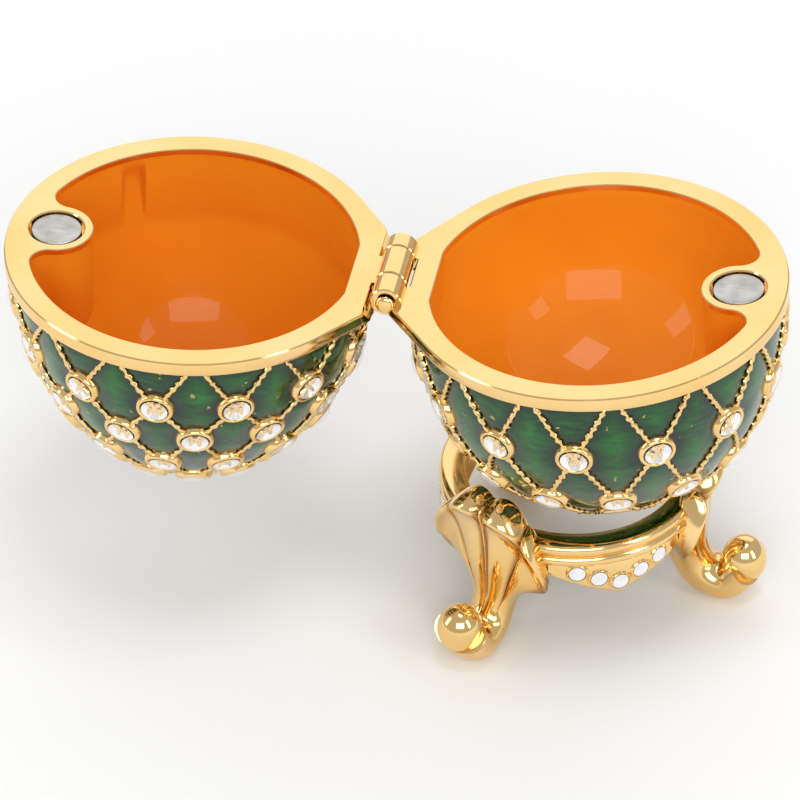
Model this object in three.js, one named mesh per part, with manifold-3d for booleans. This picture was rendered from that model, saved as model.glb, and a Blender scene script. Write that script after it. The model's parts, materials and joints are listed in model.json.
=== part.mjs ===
// A jewelled egg trinket box: a hollow egg in two hinged halves on a cast three-legged stand.
// Millimetres, +Z up. The origin is on the floor at the middle of the open box, which is under the
// hinge pin. The bowl and its stand are on the +X side of it and the open lid on the -X side.
// Pieces are drawn around the stand's axis first, and the whole is moved at the end.
import * as THREE from 'three';
import { mergeVertices } from 'three/addons/utils/BufferGeometryUtils.js';
import Module from 'manifold-3d';

const wasm = await Module();
wasm.setup();

// ---------- driving dimensions ----------
const RIM_RADIUS = 22.5;
const RIM_WIDTH = 2.9;
const RIM_HEIGHT = 44.7; // the bowl's rim above the floor, on the egg's axis
const EGG_LEAN = 4.5; // degrees, the egg leans back to its hinge in the stand
const EGG_SHIFT = 2.5; // the egg's rim centre, forward of the stand's axis
const BAND_HEIGHT = 1.75;
const SEAM = 0.1; // between the two rims when the lid is shut
const GAP = 0.3; // between separate pieces that meet
const ROUND_STEPS = 28; // two to a column of stones
const WALL_STEPS = 9; // along a half's skin, from band to pole

// each half of the egg is a turned superellipse: radius at the band, height, and exponent
const BOWL_SKIN = { radius: 22.05, height: 27.4, power: 2.4 };
const BOWL_HOLLOW = { radius: RIM_RADIUS - RIM_WIDTH, height: 20.6, power: 2.2 };
const LID_SKIN = { radius: 21.85, height: 29.9, power: 2.0 };
const LID_WALL = 0.8;
const LID_TAPER = 4; // from the rim, the height in which the wall thins to LID_WALL

const MAGNET_RADIUS = 3.0;
const MAGNET_THICKNESS = 1.8;
const MAGNET_CENTRE = 16.7; // from the egg's axis
const MAGNET_SINK = 0.15; // below the rim
const BOSS_RADIUS = 4.4;
const BOSS_FILLET = 2.2;
const BOSS_DEPTH = 12; // at its free side, from where it slopes back into the wall

const HINGE_OUT = 24.1; // the pin's axis from the egg's axis
const BARREL_RADIUS = 1.9;
const BARREL_FAR = 5.75;
const BARREL_NEAR = -5.75;
const MIDDLE_KNUCKLE = { near: -2.15, far: 3.1 };
const KNUCKLE_PLAY = 0.15;
const PIN_RADIUS = 0.6;
const PIN_HEAD_RADIUS = 1.15;
const EAR_HALF_WIDTH = 5.9;
const EAR_OUT = 23.9;
const HINGE_FLAT_OUT = 19.0; // the rim is wider by the hinge, so the hollow is cut straight there
const LID_OPEN = 173; // degrees

const COLUMNS = 14;
const COLUMN_STEP = (2 * Math.PI) / COLUMNS;
// stone rows by their height from the rim; half-step rows straddle the hinge line
const BOWL_ROWS = [
  { height: 9.4, half: true },
  { height: 18.3, half: false },
];
const CUP = { radius: 2.3, foot: 2.6, rise: 0.75, sides: 6 };
const CRYSTAL = { girdle: 1.6, table: 0.95, crown: 0.5, pavilion: 1.05, sides: 6 };
const CUP_DEPTH = 1.6;

const LEG_COUNT = 3;
const RING_STEPS = 30;
const RING = { inner: 13.0, outer: 16.1, bottom: 13.9, top: 17.1 };
const APRON = { inner: 13.2, outer: 15.9, halfWidth: 8.2, shoulder: 12.5, tip: 9.0 };
const APRON_STONES = 5;
const APRON_STONE_STEP = 9.6; // degrees around the ring
const APRON_STONE_TIP = 11.1; // height of the middle stone
const APRON_STONE_RISE = 0.95; // each stone outward sits this much higher
const APRON_STONE = { girdle: 1.0, table: 0.6, crown: 0.35, pavilion: 0.6, sides: 6 };
const FOOT_KNOB = { out: 21.3, height: 5.0, radius: 2.75, tall: 3.2 };

// ---------- finishes ----------
const gold = new THREE.MeshStandardMaterial({ color: 0xd9ae5b, metalness: 1, roughness: 0.18 });
const enamel = new THREE.MeshStandardMaterial({ color: 0x14582a, metalness: 0.2, roughness: 0.15 });
const magnetSteel = new THREE.MeshStandardMaterial({ color: 0xb4b0aa, metalness: 1, roughness: 0.4 });
const crystalGlass = new THREE.MeshStandardMaterial({ color: 0xf2f4f6, metalness: 0, roughness: 0.05 });

// ---------- solids ----------
function toSolid(geometry, matrix) {
  const bare = geometry.clone();
  bare.deleteAttribute('normal');
  bare.deleteAttribute('uv');
  if (matrix) bare.applyMatrix4(matrix);
  const merged = mergeVertices(bare, 1e-4);
  const corners = [];
  for (let i = 0; i < merged.index.count; i += 3) {
    const [a, b, c] = merged.index.array.slice(i, i + 3);
    if (a !== b && b !== c && c !== a) corners.push(a, b, c);
  }
  return new wasm.Manifold(new wasm.Mesh({
    numProp: 3,
    vertProperties: new Float32Array(merged.attributes.position.array),
    triVerts: new Uint32Array(corners),
  }));
}

function toGeometry(solid) {
  const mesh = solid.getMesh();
  const geometry = new THREE.BufferGeometry();
  geometry.setAttribute('position', new THREE.BufferAttribute(mesh.vertProperties, 3));
  geometry.setIndex(new THREE.BufferAttribute(mesh.triVerts, 1));
  geometry.computeVertexNormals();
  return geometry;
}

function namedMesh(name, geometry, material) {
  const mesh = new THREE.Mesh(geometry, material);
  mesh.name = name;
  return mesh;
}

const joinAll = (solids) => solids.reduce((whole, next) => whole.add(next));
const cutAll = (body, cutters) => cutters.reduce((rest, next) => rest.subtract(next), body);

// A LatheGeometry turns about Y. This stands its axis up along Z.
function turned(profile, steps = ROUND_STEPS) {
  return new THREE.LatheGeometry(profile, steps).rotateX(Math.PI / 2);
}

// A bar of round section along Y, on the hinge axis.
function hingeBar(radius, near, far, sides = 16) {
  const bar = new THREE.CylinderGeometry(radius, radius, far - near, sides);
  return bar.translate(-HINGE_OUT, (near + far) / 2, SEAM / 2);
}

// A flat outline raised from one height to another.
function prism(shape, low, high, curveSegments = 4) {
  const depth = high - low;
  const raised = new THREE.ExtrudeGeometry(shape, { depth, bevelEnabled: false, curveSegments });
  return raised.translate(0, 0, low);
}

// ---------- the egg's two halves ----------
// A half of the egg is drawn with its rim at height 0 and its pole at +height. The bowl is the
// same drawing turned over, so a point at height h is h below its rim.
function skinPoint(skin, angle) {
  return new THREE.Vector2(
    skin.radius * Math.cos(angle) ** (2 / skin.power),
    skin.height * Math.sin(angle) ** (2 / skin.power),
  );
}

function skinRadius(skin, height) {
  return skin.radius * (1 - (height / skin.height) ** skin.power) ** (1 / skin.power);
}

// The skin's outward slope at a height, as (out, up), from the superellipse's gradient.
function skinNormal(skin, height) {
  const out = (skinRadius(skin, height) / skin.radius) ** (skin.power - 1) / skin.radius;
  const up = (height / skin.height) ** (skin.power - 1) / skin.height;
  return new THREE.Vector2(out, up).normalize();
}

function skinProfile(skin, steps) {
  const points = [];
  for (let i = 0; i < steps; i += 1) {
    points.push(skinPoint(skin, (i / steps) * (Math.PI / 2)));
  }
  points.push(new THREE.Vector2(0, skin.height));
  return points;
}

function outerHalf(skin) {
  const wall = skinProfile(skin, WALL_STEPS).filter((point) => point.y > BAND_HEIGHT);
  return turned([
    new THREE.Vector2(0, 0),
    new THREE.Vector2(RIM_RADIUS, 0),
    new THREE.Vector2(RIM_RADIUS, BAND_HEIGHT - 0.3),
    new THREE.Vector2(skinRadius(skin, BAND_HEIGHT), BAND_HEIGHT),
    ...wall,
  ]);
}

// The boss for the magnet: a round end standing in from the wall, with a hollow fillet each side
// whose circle touches both the boss and the wall.
function bossOutline() {
  const wall = RIM_RADIUS - RIM_WIDTH;
  const a = BOSS_RADIUS + BOSS_FILLET;
  const b = wall - BOSS_FILLET;
  const x = (b * b - a * a + MAGNET_CENTRE * MAGNET_CENTRE) / (2 * MAGNET_CENTRE);
  const y = Math.sqrt(b * b - x * x);
  const toWall = Math.atan2(y, x);
  const toBoss = Math.atan2(y, x - MAGNET_CENTRE);
  const outline = new THREE.Shape();
  outline.moveTo(RIM_RADIUS - 1, y);
  outline.lineTo(RIM_RADIUS - 1, -y);
  outline.absarc(x, -y, BOSS_FILLET, -toWall, Math.PI - toBoss, false);
  outline.absarc(MAGNET_CENTRE, 0, BOSS_RADIUS, -toBoss, toBoss, true);
  outline.absarc(x, y, BOSS_FILLET, Math.PI + toBoss, toWall + 2 * Math.PI, false);
  return outline;
}

// The ear that carries the knuckles: straight by the hinge, then tangent to the rim each side.
function earOutline() {
  const reach = Math.hypot(EAR_OUT, EAR_HALF_WIDTH);
  const turn = Math.atan2(EAR_HALF_WIDTH, EAR_OUT) + Math.acos(RIM_RADIUS / reach);
  const touchX = -(RIM_RADIUS - 0.02) * Math.cos(turn);
  const touchY = (RIM_RADIUS - 0.02) * Math.sin(turn);
  const outline = new THREE.Shape();
  outline.moveTo(-EAR_OUT, -EAR_HALF_WIDTH);
  outline.lineTo(touchX, -touchY);
  outline.lineTo(-HINGE_FLAT_OUT, -1);
  outline.lineTo(-HINGE_FLAT_OUT, 1);
  outline.lineTo(touchX, touchY);
  outline.lineTo(-EAR_OUT, EAR_HALF_WIDTH);
  return outline;
}

// The lid's hollow follows its skin, a wall's thickness inside it.
function lidHollowProfile() {
  const inner = skinProfile(LID_SKIN, WALL_STEPS).slice(1, -1).map((point) => {
    const normal = skinNormal(LID_SKIN, point.y);
    const taper = Math.max(0, 1 - point.y / LID_TAPER);
    const wall = LID_WALL + (RIM_WIDTH - LID_WALL) * taper;
    return point.clone().addScaledVector(normal, -wall);
  });
  return [
    new THREE.Vector2(RIM_RADIUS - RIM_WIDTH, 0),
    ...inner,
    new THREE.Vector2(0, LID_SKIN.height - LID_WALL - 0.3),
  ];
}

// The hollow of a half, less the magnet's boss and the straight wall by the hinge.
function hollow(profile) {
  const space = toSolid(turned([
    new THREE.Vector2(0, -1),
    new THREE.Vector2(RIM_RADIUS - RIM_WIDTH, -1),
    ...profile,
  ]));
  const under = new THREE.BoxGeometry(40, 40, 40).translate(-20, 0, 20).rotateY(Math.PI / 4);
  under.translate(MAGNET_CENTRE - BOSS_RADIUS, 0, BOSS_DEPTH);
  const boss = toSolid(prism(bossOutline(), -2, LID_SKIN.height)).subtract(toSolid(under));
  const flat = toSolid(new THREE.BoxGeometry(3, 14, 60).translate(-HINGE_FLAT_OUT - 1.5, 0, 0));
  return cutAll(space, [boss, flat]);
}

// Where a stone sits on a half: on the skin, raised by the cup, turned to the skin's slope.
function stoneFrame(skin, height, azimuth) {
  const normal = skinNormal(skin, height);
  const out = new THREE.Vector3(Math.cos(azimuth) * normal.x, Math.sin(azimuth) * normal.x, normal.y);
  const radius = skinRadius(skin, height);
  const place = new THREE.Vector3(Math.cos(azimuth) * radius, Math.sin(azimuth) * radius, height);
  const turn = new THREE.Quaternion().setFromUnitVectors(new THREE.Vector3(0, 0, 1), out);
  return new THREE.Matrix4().compose(place, turn, new THREE.Vector3(1, 1, 1));
}

function stoneFrames(skin, rows) {
  return rows.map((row) => Array.from({ length: COLUMNS }, (_, column) => {
    const azimuth = Math.PI + (column + (row.half ? 0.5 : 0)) * COLUMN_STEP;
    return stoneFrame(skin, row.height, azimuth);
  }));
}

// A cup's outside, from under the skin to its top.
function cupBlank(matrix) {
  const under = 0.6;
  const height = CUP.rise + under;
  const body = new THREE.CylinderGeometry(CUP.radius, CUP.foot, height, CUP.sides);
  return toSolid(body.rotateX(Math.PI / 2).translate(0, 0, height / 2 - under), matrix);
}

function cupBore(radius, top, depth, matrix) {
  const height = depth + 1;
  const bore = new THREE.CylinderGeometry(radius, radius, height, CUP.sides);
  return toSolid(bore.rotateX(Math.PI / 2).translate(0, 0, top + 1 - height / 2), matrix);
}

const crystalBore = (matrix) => cupBore(CRYSTAL.girdle + GAP, CUP.rise, CUP_DEPTH, matrix);

// A round brilliant, with its girdle at height 0: table, crown, girdle and pavilion.
function brilliant(stone) {
  return turned([
    new THREE.Vector2(0, -stone.pavilion),
    new THREE.Vector2(stone.girdle, 0),
    new THREE.Vector2(stone.table, stone.crown),
    new THREE.Vector2(0, stone.crown),
  ], stone.sides);
}

function crystalMesh(name, matrix) {
  const lift = new THREE.Matrix4().makeTranslation(0, 0, CUP.rise - 0.25);
  const mesh = namedMesh(name, brilliant(CRYSTAL), crystalGlass);
  mesh.applyMatrix4(matrix.clone().multiply(lift));
  return mesh;
}

const turnOver = new THREE.Matrix4().makeRotationX(Math.PI);

function magnetPocket() {
  const depth = MAGNET_SINK + MAGNET_THICKNESS + GAP;
  const pocket = new THREE.CylinderGeometry(MAGNET_RADIUS + GAP, MAGNET_RADIUS + GAP, depth + 1, 20);
  return toSolid(pocket.rotateX(Math.PI / 2).translate(MAGNET_CENTRE, 0, (depth - 1) / 2));
}

function magnetMesh(name, over) {
  const disc = new THREE.CylinderGeometry(MAGNET_RADIUS, MAGNET_RADIUS, MAGNET_THICKNESS, 20);
  disc.rotateX(Math.PI / 2);
  disc.translate(MAGNET_CENTRE, 0, MAGNET_SINK + MAGNET_THICKNESS / 2);
  if (over) disc.applyMatrix4(over);
  return namedMesh(name, disc, magnetSteel);
}

// One half without its knuckles, rim at height 0 and pole at +height.
function halfShell(skin, hollowProfile, stoneSeats) {
  const body = joinAll([
    toSolid(outerHalf(skin)),
    toSolid(prism(earOutline(), 0, BAND_HEIGHT)),
    ...stoneSeats.map(cupBlank),
  ]);
  return cutAll(body, [hollow(hollowProfile), magnetPocket(), ...stoneSeats.map(crystalBore)]);
}

function knuckle(near, far) {
  return toSolid(hingeBar(BARREL_RADIUS, near, far));
}

function knuckleRelief(near, far) {
  return toSolid(hingeBar(BARREL_RADIUS + GAP, near, far));
}

const pinBore = toSolid(hingeBar(PIN_RADIUS + 0.2, BARREL_NEAR - 1, BARREL_FAR + 1, 12));

function bowlSolid() {
  const seats = stoneFrames(BOWL_SKIN, BOWL_ROWS).flat();
  const lining = skinProfile(BOWL_HOLLOW, WALL_STEPS);
  const shell = halfShell(BOWL_SKIN, lining, seats).transform(turnOver.elements);
  const reliefs = [
    knuckleRelief(MIDDLE_KNUCKLE.near - KNUCKLE_PLAY, MIDDLE_KNUCKLE.far + KNUCKLE_PLAY),
    toSolid(hingeBar(PIN_HEAD_RADIUS + GAP, BARREL_NEAR - 2, BARREL_NEAR)),
  ];
  const knuckles = [
    knuckle(BARREL_NEAR, MIDDLE_KNUCKLE.near - KNUCKLE_PLAY),
    knuckle(MIDDLE_KNUCKLE.far + KNUCKLE_PLAY, BARREL_FAR),
  ];
  return joinAll([cutAll(shell, reliefs), ...knuckles]).subtract(pinBore);
}

// The tip stone's cup stands on the lid's pole.
const tipFrame = new THREE.Matrix4().makeTranslation(0, 0, LID_SKIN.height);

function lidSolid() {
  const shell = halfShell(LID_SKIN, lidHollowProfile(), [tipFrame]).translate([0, 0, SEAM]);
  const reliefs = [
    knuckleRelief(BARREL_NEAR - 1, MIDDLE_KNUCKLE.near),
    knuckleRelief(MIDDLE_KNUCKLE.far, BARREL_FAR + 1),
  ];
  return cutAll(shell, reliefs).add(knuckle(MIDDLE_KNUCKLE.near, MIDDLE_KNUCKLE.far)).subtract(pinBore);
}

// The pin runs through the knuckles, with a riveted head at the near end.
function hingePinSolid() {
  const shaft = toSolid(hingeBar(PIN_RADIUS, BARREL_NEAR - GAP - 0.2, BARREL_FAR, 12));
  const head = toSolid(hingeBar(PIN_HEAD_RADIUS, BARREL_NEAR - GAP - 0.5, BARREL_NEAR - GAP, 12));
  return shaft.add(head);
}

// ---------- the stand ----------
// the leaf at the top of a leg: two wide lobes beside its middle and a narrow one at each edge
const LEAF = { top: 23.0, lobeSplit: 0.62, edgeDrop: 7.5, notch: 0.9, fullness: 0.55 };
const FLUTE = { depth: 0.55, mean: 0.6 };
const LEAF_END = 0.55; // share of the leg's length where the leaf has run out
const LEG_WIDTH = { ankle: 2.8, leaf: 9.7, end: 0.62 }; // half widths, and where the ankle begins
const LEG_THICKNESS = { leaf: 3.6, foot: 5.0, start: 0.1, end: 0.62 };
const LEG_BEND = 16; // the leg's width follows a circle of this radius
// the leg's middle line from leaf top to toe, as [out from the axis, height]
const LEG_LINE = new THREE.SplineCurve([
  new THREE.Vector2(16.6, LEAF.top),
  new THREE.Vector2(15.4, 18.0),
  new THREE.Vector2(14.7, 12.0),
  new THREE.Vector2(14.3, 6.6),
  new THREE.Vector2(16.0, 3.0),
  new THREE.Vector2(19.2, 2.1),
  new THREE.Vector2(21.3, 4.4),
]);
const LEG_STEPS = 11;
const LEG_OUTSIDE = 12; // points across the leaf's front
const LEG_INSIDE = 3;

// The leg's half width and thickness along its length: wide leaf, narrow ankle, round toe.
function legHalfWidth(t) {
  const narrowing = THREE.MathUtils.smoothstep(t, 0, LEG_WIDTH.end);
  return THREE.MathUtils.lerp(LEG_WIDTH.leaf, LEG_WIDTH.ankle, narrowing);
}

function legThickness(t) {
  const growing = THREE.MathUtils.smoothstep(t, LEG_THICKNESS.start, LEG_THICKNESS.end);
  return THREE.MathUtils.lerp(LEG_THICKNESS.leaf, LEG_THICKNESS.foot, growing);
}

// The lobes across the leaf, at s from -1 to 1: 0 in the notches and 1 on each lobe's crest.
function leafLobe(s) {
  const away = Math.abs(s);
  const inner = away / LEAF.lobeSplit;
  const outer = (away - LEAF.lobeSplit) / (1 - LEAF.lobeSplit);
  return Math.sin(Math.PI * (inner < 1 ? inner : outer));
}

// How far below the leaf's top its scalloped edge lies.
function leafDrop(s) {
  return LEAF.edgeDrop * Math.abs(s) ** 3 + LEAF.notch * (1 - leafLobe(s));
}

function legPoint(t, s, side) {
  const middle = LEG_LINE.getPoint(t);
  const along = LEG_LINE.getTangent(t);
  const leaf = 1 - THREE.MathUtils.smoothstep(t, 0, LEAF_END);
  const round = Math.sqrt(Math.max(0, 1 - s * s * (1 - leaf * LEAF.fullness)));
  const flute = side > 0 ? FLUTE.depth * leaf * (leafLobe(s) - FLUTE.mean) : 0;
  const depth = (side * legThickness(t) * round) / 2 + flute;
  const out = middle.x - along.y * depth;
  const height = middle.y + along.x * depth - leafDrop(s) * leaf;
  const azimuth = (s * legHalfWidth(t)) / LEG_BEND;
  return new THREE.Vector3(out * Math.cos(azimuth), out * Math.sin(azimuth), height);
}

// The leg as closed rings of points, joined ring to ring, with a fan at each end.
function legGeometry() {
  const positions = [];
  const index = [];
  const sides = LEG_OUTSIDE + 1 + LEG_INSIDE - 1;
  for (let i = 0; i <= LEG_STEPS; i += 1) {
    const t = i / LEG_STEPS;
    for (let j = 0; j <= LEG_OUTSIDE; j += 1) {
      positions.push(...legPoint(t, (2 * j) / LEG_OUTSIDE - 1, 1).toArray());
    }
    for (let j = 1; j < LEG_INSIDE; j += 1) {
      positions.push(...legPoint(t, 1 - (2 * j) / LEG_INSIDE, -1).toArray());
    }
  }
  for (let i = 0; i < LEG_STEPS; i += 1) {
    for (let j = 0; j < sides; j += 1) {
      const a = i * sides + j;
      const b = i * sides + ((j + 1) % sides);
      index.push(a, a + sides, b, b, a + sides, b + sides);
    }
  }
  const last = LEG_STEPS * sides;
  for (let j = 1; j < sides - 1; j += 1) {
    index.push(0, j, j + 1);
    index.push(last, last + j + 1, last + j);
  }
  const geometry = new THREE.BufferGeometry();
  geometry.setAttribute('position', new THREE.Float32BufferAttribute(positions, 3));
  geometry.setIndex(index);
  return geometry;
}

// The ring: a band with two round mouldings on its outside.
function ringGeometry() {
  const bead = (RING.top - RING.bottom) / 4;
  const profile = [
    new THREE.Vector2(RING.inner, RING.top - 0.3),
    new THREE.Vector2(RING.inner, RING.bottom),
    new THREE.Vector2(RING.outer - bead, RING.bottom),
  ];
  for (const centre of [RING.bottom + bead, RING.top - bead]) {
    for (const turn of [-50, 0, 50]) {
      const angle = THREE.MathUtils.degToRad(turn);
      profile.push(new THREE.Vector2(
        RING.outer - bead + bead * Math.cos(angle),
        centre + bead * Math.sin(angle),
      ));
    }
  }
  profile.push(new THREE.Vector2(RING.outer - bead, RING.top));
  profile.push(profile[0].clone());
  return turned(profile, RING_STEPS);
}

const aboutZ = (angle) => new THREE.Matrix4().makeRotationZ(angle);
const legAzimuth = (leg) => (leg * 2 * Math.PI) / LEG_COUNT;
const apronAzimuth = (side) => legAzimuth(side) + Math.PI / LEG_COUNT;

// The aprons: a turned band kept only where three pointed panels cross it.
function apronSolid() {
  const band = toSolid(turned([
    new THREE.Vector2(APRON.inner, APRON.tip - 1),
    new THREE.Vector2(APRON.outer - 0.5, APRON.tip - 1),
    new THREE.Vector2(APRON.outer, APRON.shoulder),
    new THREE.Vector2(APRON.outer - 0.3, RING.bottom + 0.5),
    new THREE.Vector2(APRON.inner, RING.bottom + 0.5),
    new THREE.Vector2(APRON.inner, APRON.tip - 1),
  ], RING_STEPS));
  const panel = new THREE.Shape();
  panel.moveTo(-APRON.halfWidth, RING.bottom + 1);
  panel.lineTo(-APRON.halfWidth, APRON.shoulder);
  panel.lineTo(0, APRON.tip);
  panel.lineTo(APRON.halfWidth, APRON.shoulder);
  panel.lineTo(APRON.halfWidth, RING.bottom + 1);
  const block = prism(panel, APRON.inner / 2, APRON.outer + 2).rotateX(Math.PI / 2).rotateZ(Math.PI / 2);
  const panels = [0, 1, 2].map((side) => toSolid(block, aboutZ(apronAzimuth(side))));
  return joinAll(panels).intersect(band);
}

// Where an apron stone sits: facing out, on the apron's face, following the V.
function apronStoneFrame(side, place) {
  const azimuth = apronAzimuth(side) + THREE.MathUtils.degToRad(place * APRON_STONE_STEP);
  const height = APRON_STONE_TIP + Math.abs(place) * APRON_STONE_RISE;
  const facing = new THREE.Matrix4().makeRotationY(Math.PI / 2);
  const out = new THREE.Matrix4().makeTranslation(APRON.outer - 0.1, 0, height);
  return aboutZ(azimuth).multiply(out).multiply(facing);
}

const apronPlaces = Array.from({ length: APRON_STONES }, (_, i) => i - (APRON_STONES - 1) / 2);
const apronStones = [0, 1, 2].flatMap((side) => apronPlaces.map((place) => (
  { side, place, frame: apronStoneFrame(side, place) }
)));

// The egg's frame in the stand: its rim centre over the ring, leaning back to the hinge.
const eggFrame = new THREE.Matrix4().makeTranslation(EGG_SHIFT, 0, RIM_HEIGHT)
  .multiply(new THREE.Matrix4().makeRotationY(-THREE.MathUtils.degToRad(EGG_LEAN)));

function standSolid() {
  const leg = legGeometry();
  const knob = new THREE.SphereGeometry(1, 10, 6)
    .scale(FOOT_KNOB.radius, FOOT_KNOB.radius, FOOT_KNOB.tall)
    .translate(FOOT_KNOB.out, 0, FOOT_KNOB.height);
  const legs = [0, 1, 2].flatMap((number) => {
    const turn = aboutZ(legAzimuth(number));
    return [toSolid(leg, turn), toSolid(knob, turn)];
  });
  const clear = { ...BOWL_SKIN, radius: BOWL_SKIN.radius + GAP, height: BOWL_SKIN.height + GAP };
  const bowlRoom = toSolid(
    turned([new THREE.Vector2(0, 0), ...skinProfile(clear, 14)]),
    eggFrame.clone().multiply(turnOver),
  );
  const floor = toSolid(new THREE.BoxGeometry(80, 80, 10).translate(0, 0, -5));
  const seats = apronStones.map((stone) => (
    cupBore(APRON_STONE.girdle + 0.2, 0, APRON_STONE.pavilion + GAP, stone.frame)
  ));
  const whole = joinAll([toSolid(ringGeometry()), apronSolid(), ...legs]);
  return cutAll(whole, [bowlRoom, floor, ...seats]);
}

// ---------- the assembly ----------
const egg = new THREE.Group();
egg.applyMatrix4(eggFrame);
egg.add(namedMesh('bowl', toGeometry(bowlSolid()), enamel));
egg.add(namedMesh('hinge_pin', toGeometry(hingePinSolid()), gold));
egg.add(magnetMesh('bowl_magnet', turnOver));
stoneFrames(BOWL_SKIN, BOWL_ROWS).forEach((row, rowNumber) => {
  row.forEach((frame, column) => {
    const name = `bowl_crystal_${rowNumber + 1}_${String(column + 1).padStart(2, '0')}`;
    egg.add(crystalMesh(name, turnOver.clone().multiply(frame)));
  });
});

// The lid's group has its origin on the pin's axis, so opening it is one rotation.
const lidParts = new THREE.Group();
lidParts.position.set(HINGE_OUT, 0, -SEAM / 2);
lidParts.add(namedMesh('lid', toGeometry(lidSolid()), enamel));
const lidMagnet = magnetMesh('lid_magnet');
lidMagnet.position.z = SEAM;
lidParts.add(lidMagnet);
const lidTip = new THREE.Matrix4().makeTranslation(0, 0, SEAM).multiply(tipFrame);
lidParts.add(crystalMesh('lid_tip_crystal', lidTip));
const lidHinge = new THREE.Group();
lidHinge.position.set(-HINGE_OUT, 0, SEAM / 2);
lidHinge.rotation.y = -THREE.MathUtils.degToRad(LID_OPEN);
lidHinge.add(lidParts);
egg.add(lidHinge);

const box = new THREE.Group();
box.add(egg);
box.add(namedMesh('stand', toGeometry(standSolid()), gold));
apronStones.forEach(({ side, place, frame }) => {
  const mesh = namedMesh(`apron_crystal_${side + 1}_${place + 3}`, brilliant(APRON_STONE), crystalGlass);
  mesh.applyMatrix4(frame);
  box.add(mesh);
});

const extent = new THREE.Box3().setFromObject(box, true);
box.position.x = -(extent.min.x + extent.max.x) / 2;

export default box;
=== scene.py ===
# %% [markdown]
# # A jewelled egg trinket box
#
# The box is an egg cast in two thin halves, a bowl and a lid, joined by a small barrel hinge.
# A cast stand with three fluted legs carries the bowl. Outside, the halves are covered with green
# enamel under a net of twisted gold wires, with a round crystal in a gold cup at each crossing.
# Inside they are lined with orange enamel, and each rim holds a small magnet.
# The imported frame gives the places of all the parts, so it is loaded first.

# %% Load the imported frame
import json
import math

import bmesh
import bpy
import numpy as np
from mathutils import Matrix, Vector
from mathutils.geometry import delaunay_2d_cdt


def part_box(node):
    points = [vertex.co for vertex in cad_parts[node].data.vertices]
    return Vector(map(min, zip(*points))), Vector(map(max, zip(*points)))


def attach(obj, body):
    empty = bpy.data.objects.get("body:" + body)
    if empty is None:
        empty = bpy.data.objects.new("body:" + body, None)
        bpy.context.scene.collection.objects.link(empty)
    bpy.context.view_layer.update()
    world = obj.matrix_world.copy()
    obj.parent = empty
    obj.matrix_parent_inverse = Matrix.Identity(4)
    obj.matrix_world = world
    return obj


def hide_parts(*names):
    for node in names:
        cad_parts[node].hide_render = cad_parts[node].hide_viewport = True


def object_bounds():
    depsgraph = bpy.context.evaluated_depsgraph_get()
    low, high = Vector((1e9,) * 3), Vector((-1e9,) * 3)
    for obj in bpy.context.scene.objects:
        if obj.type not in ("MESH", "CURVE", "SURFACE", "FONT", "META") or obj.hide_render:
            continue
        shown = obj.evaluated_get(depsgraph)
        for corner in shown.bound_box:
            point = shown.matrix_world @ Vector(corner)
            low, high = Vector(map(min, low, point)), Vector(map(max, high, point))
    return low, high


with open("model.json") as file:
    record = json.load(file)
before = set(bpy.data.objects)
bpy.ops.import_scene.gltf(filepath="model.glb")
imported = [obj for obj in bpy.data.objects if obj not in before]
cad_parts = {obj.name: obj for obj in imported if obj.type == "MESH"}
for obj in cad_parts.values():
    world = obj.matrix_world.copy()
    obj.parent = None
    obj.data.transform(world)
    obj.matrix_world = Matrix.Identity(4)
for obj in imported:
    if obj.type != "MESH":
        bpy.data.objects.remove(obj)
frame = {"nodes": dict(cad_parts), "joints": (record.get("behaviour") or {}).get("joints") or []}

CAD_LOW, CAD_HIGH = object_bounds()
MM = 0.001
CAD_SIZE = CAD_HIGH - CAD_LOW
print("frame nodes:", len(frame["nodes"]), "box (mm):", [round(v / MM, 1) for v in CAD_SIZE])

# %% [markdown]
# ## Sizes
#
# All sizes are in millimetres, the same as the cast parts have. Each half of the egg is a turned
# superellipse, drawn with its rim at height 0 and its pole at the top. The bowl is that drawing
# turned over. A half could also be kept as a scanned profile, but a formula gives the wires, the
# cups and the enamel one common surface to sit on.

# %% Driving sizes
RIM_RADIUS = 22.5
RIM_WIDTH = 2.9
BAND_HEIGHT = 1.75
SEAM = 0.1
BOWL_SKIN = {"radius": 22.05, "height": 27.4, "power": 2.4}
BOWL_HOLLOW = {"radius": RIM_RADIUS - RIM_WIDTH, "height": 20.6, "power": 2.2}
LID_SKIN = {"radius": 21.85, "height": 29.9, "power": 2.0}
LID_WALL = 0.8
LID_TAPER = 4.0
LID_HOLLOW_HEIGHT = LID_SKIN["height"] - LID_WALL - 0.3
COLUMNS = 14
COLUMN_STEP = 2 * math.pi / COLUMNS
# rows of cups on each half: height from the rim, and 0.5 where cups sit between the columns
BOWL_ROWS = [(9.4, 0.5), (18.3, 0.0)]
LID_ROWS = [(7.9, 0.5), (13.5, 0.0), (19.5, 0.5), (25.0, 0.0)]
# the wires' course: columns travelled sideways against height from the rim
BOWL_WIRES = [(1.4, 0.07), (9.4, 0.5), (18.3, 1.0), (24.4, 1.5)]
LID_WIRES = [(1.4, 0.07), (7.9, 0.5), (13.5, 1.0), (19.5, 1.5), (25.0, 2.0), (28.3, 2.5)]

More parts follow.
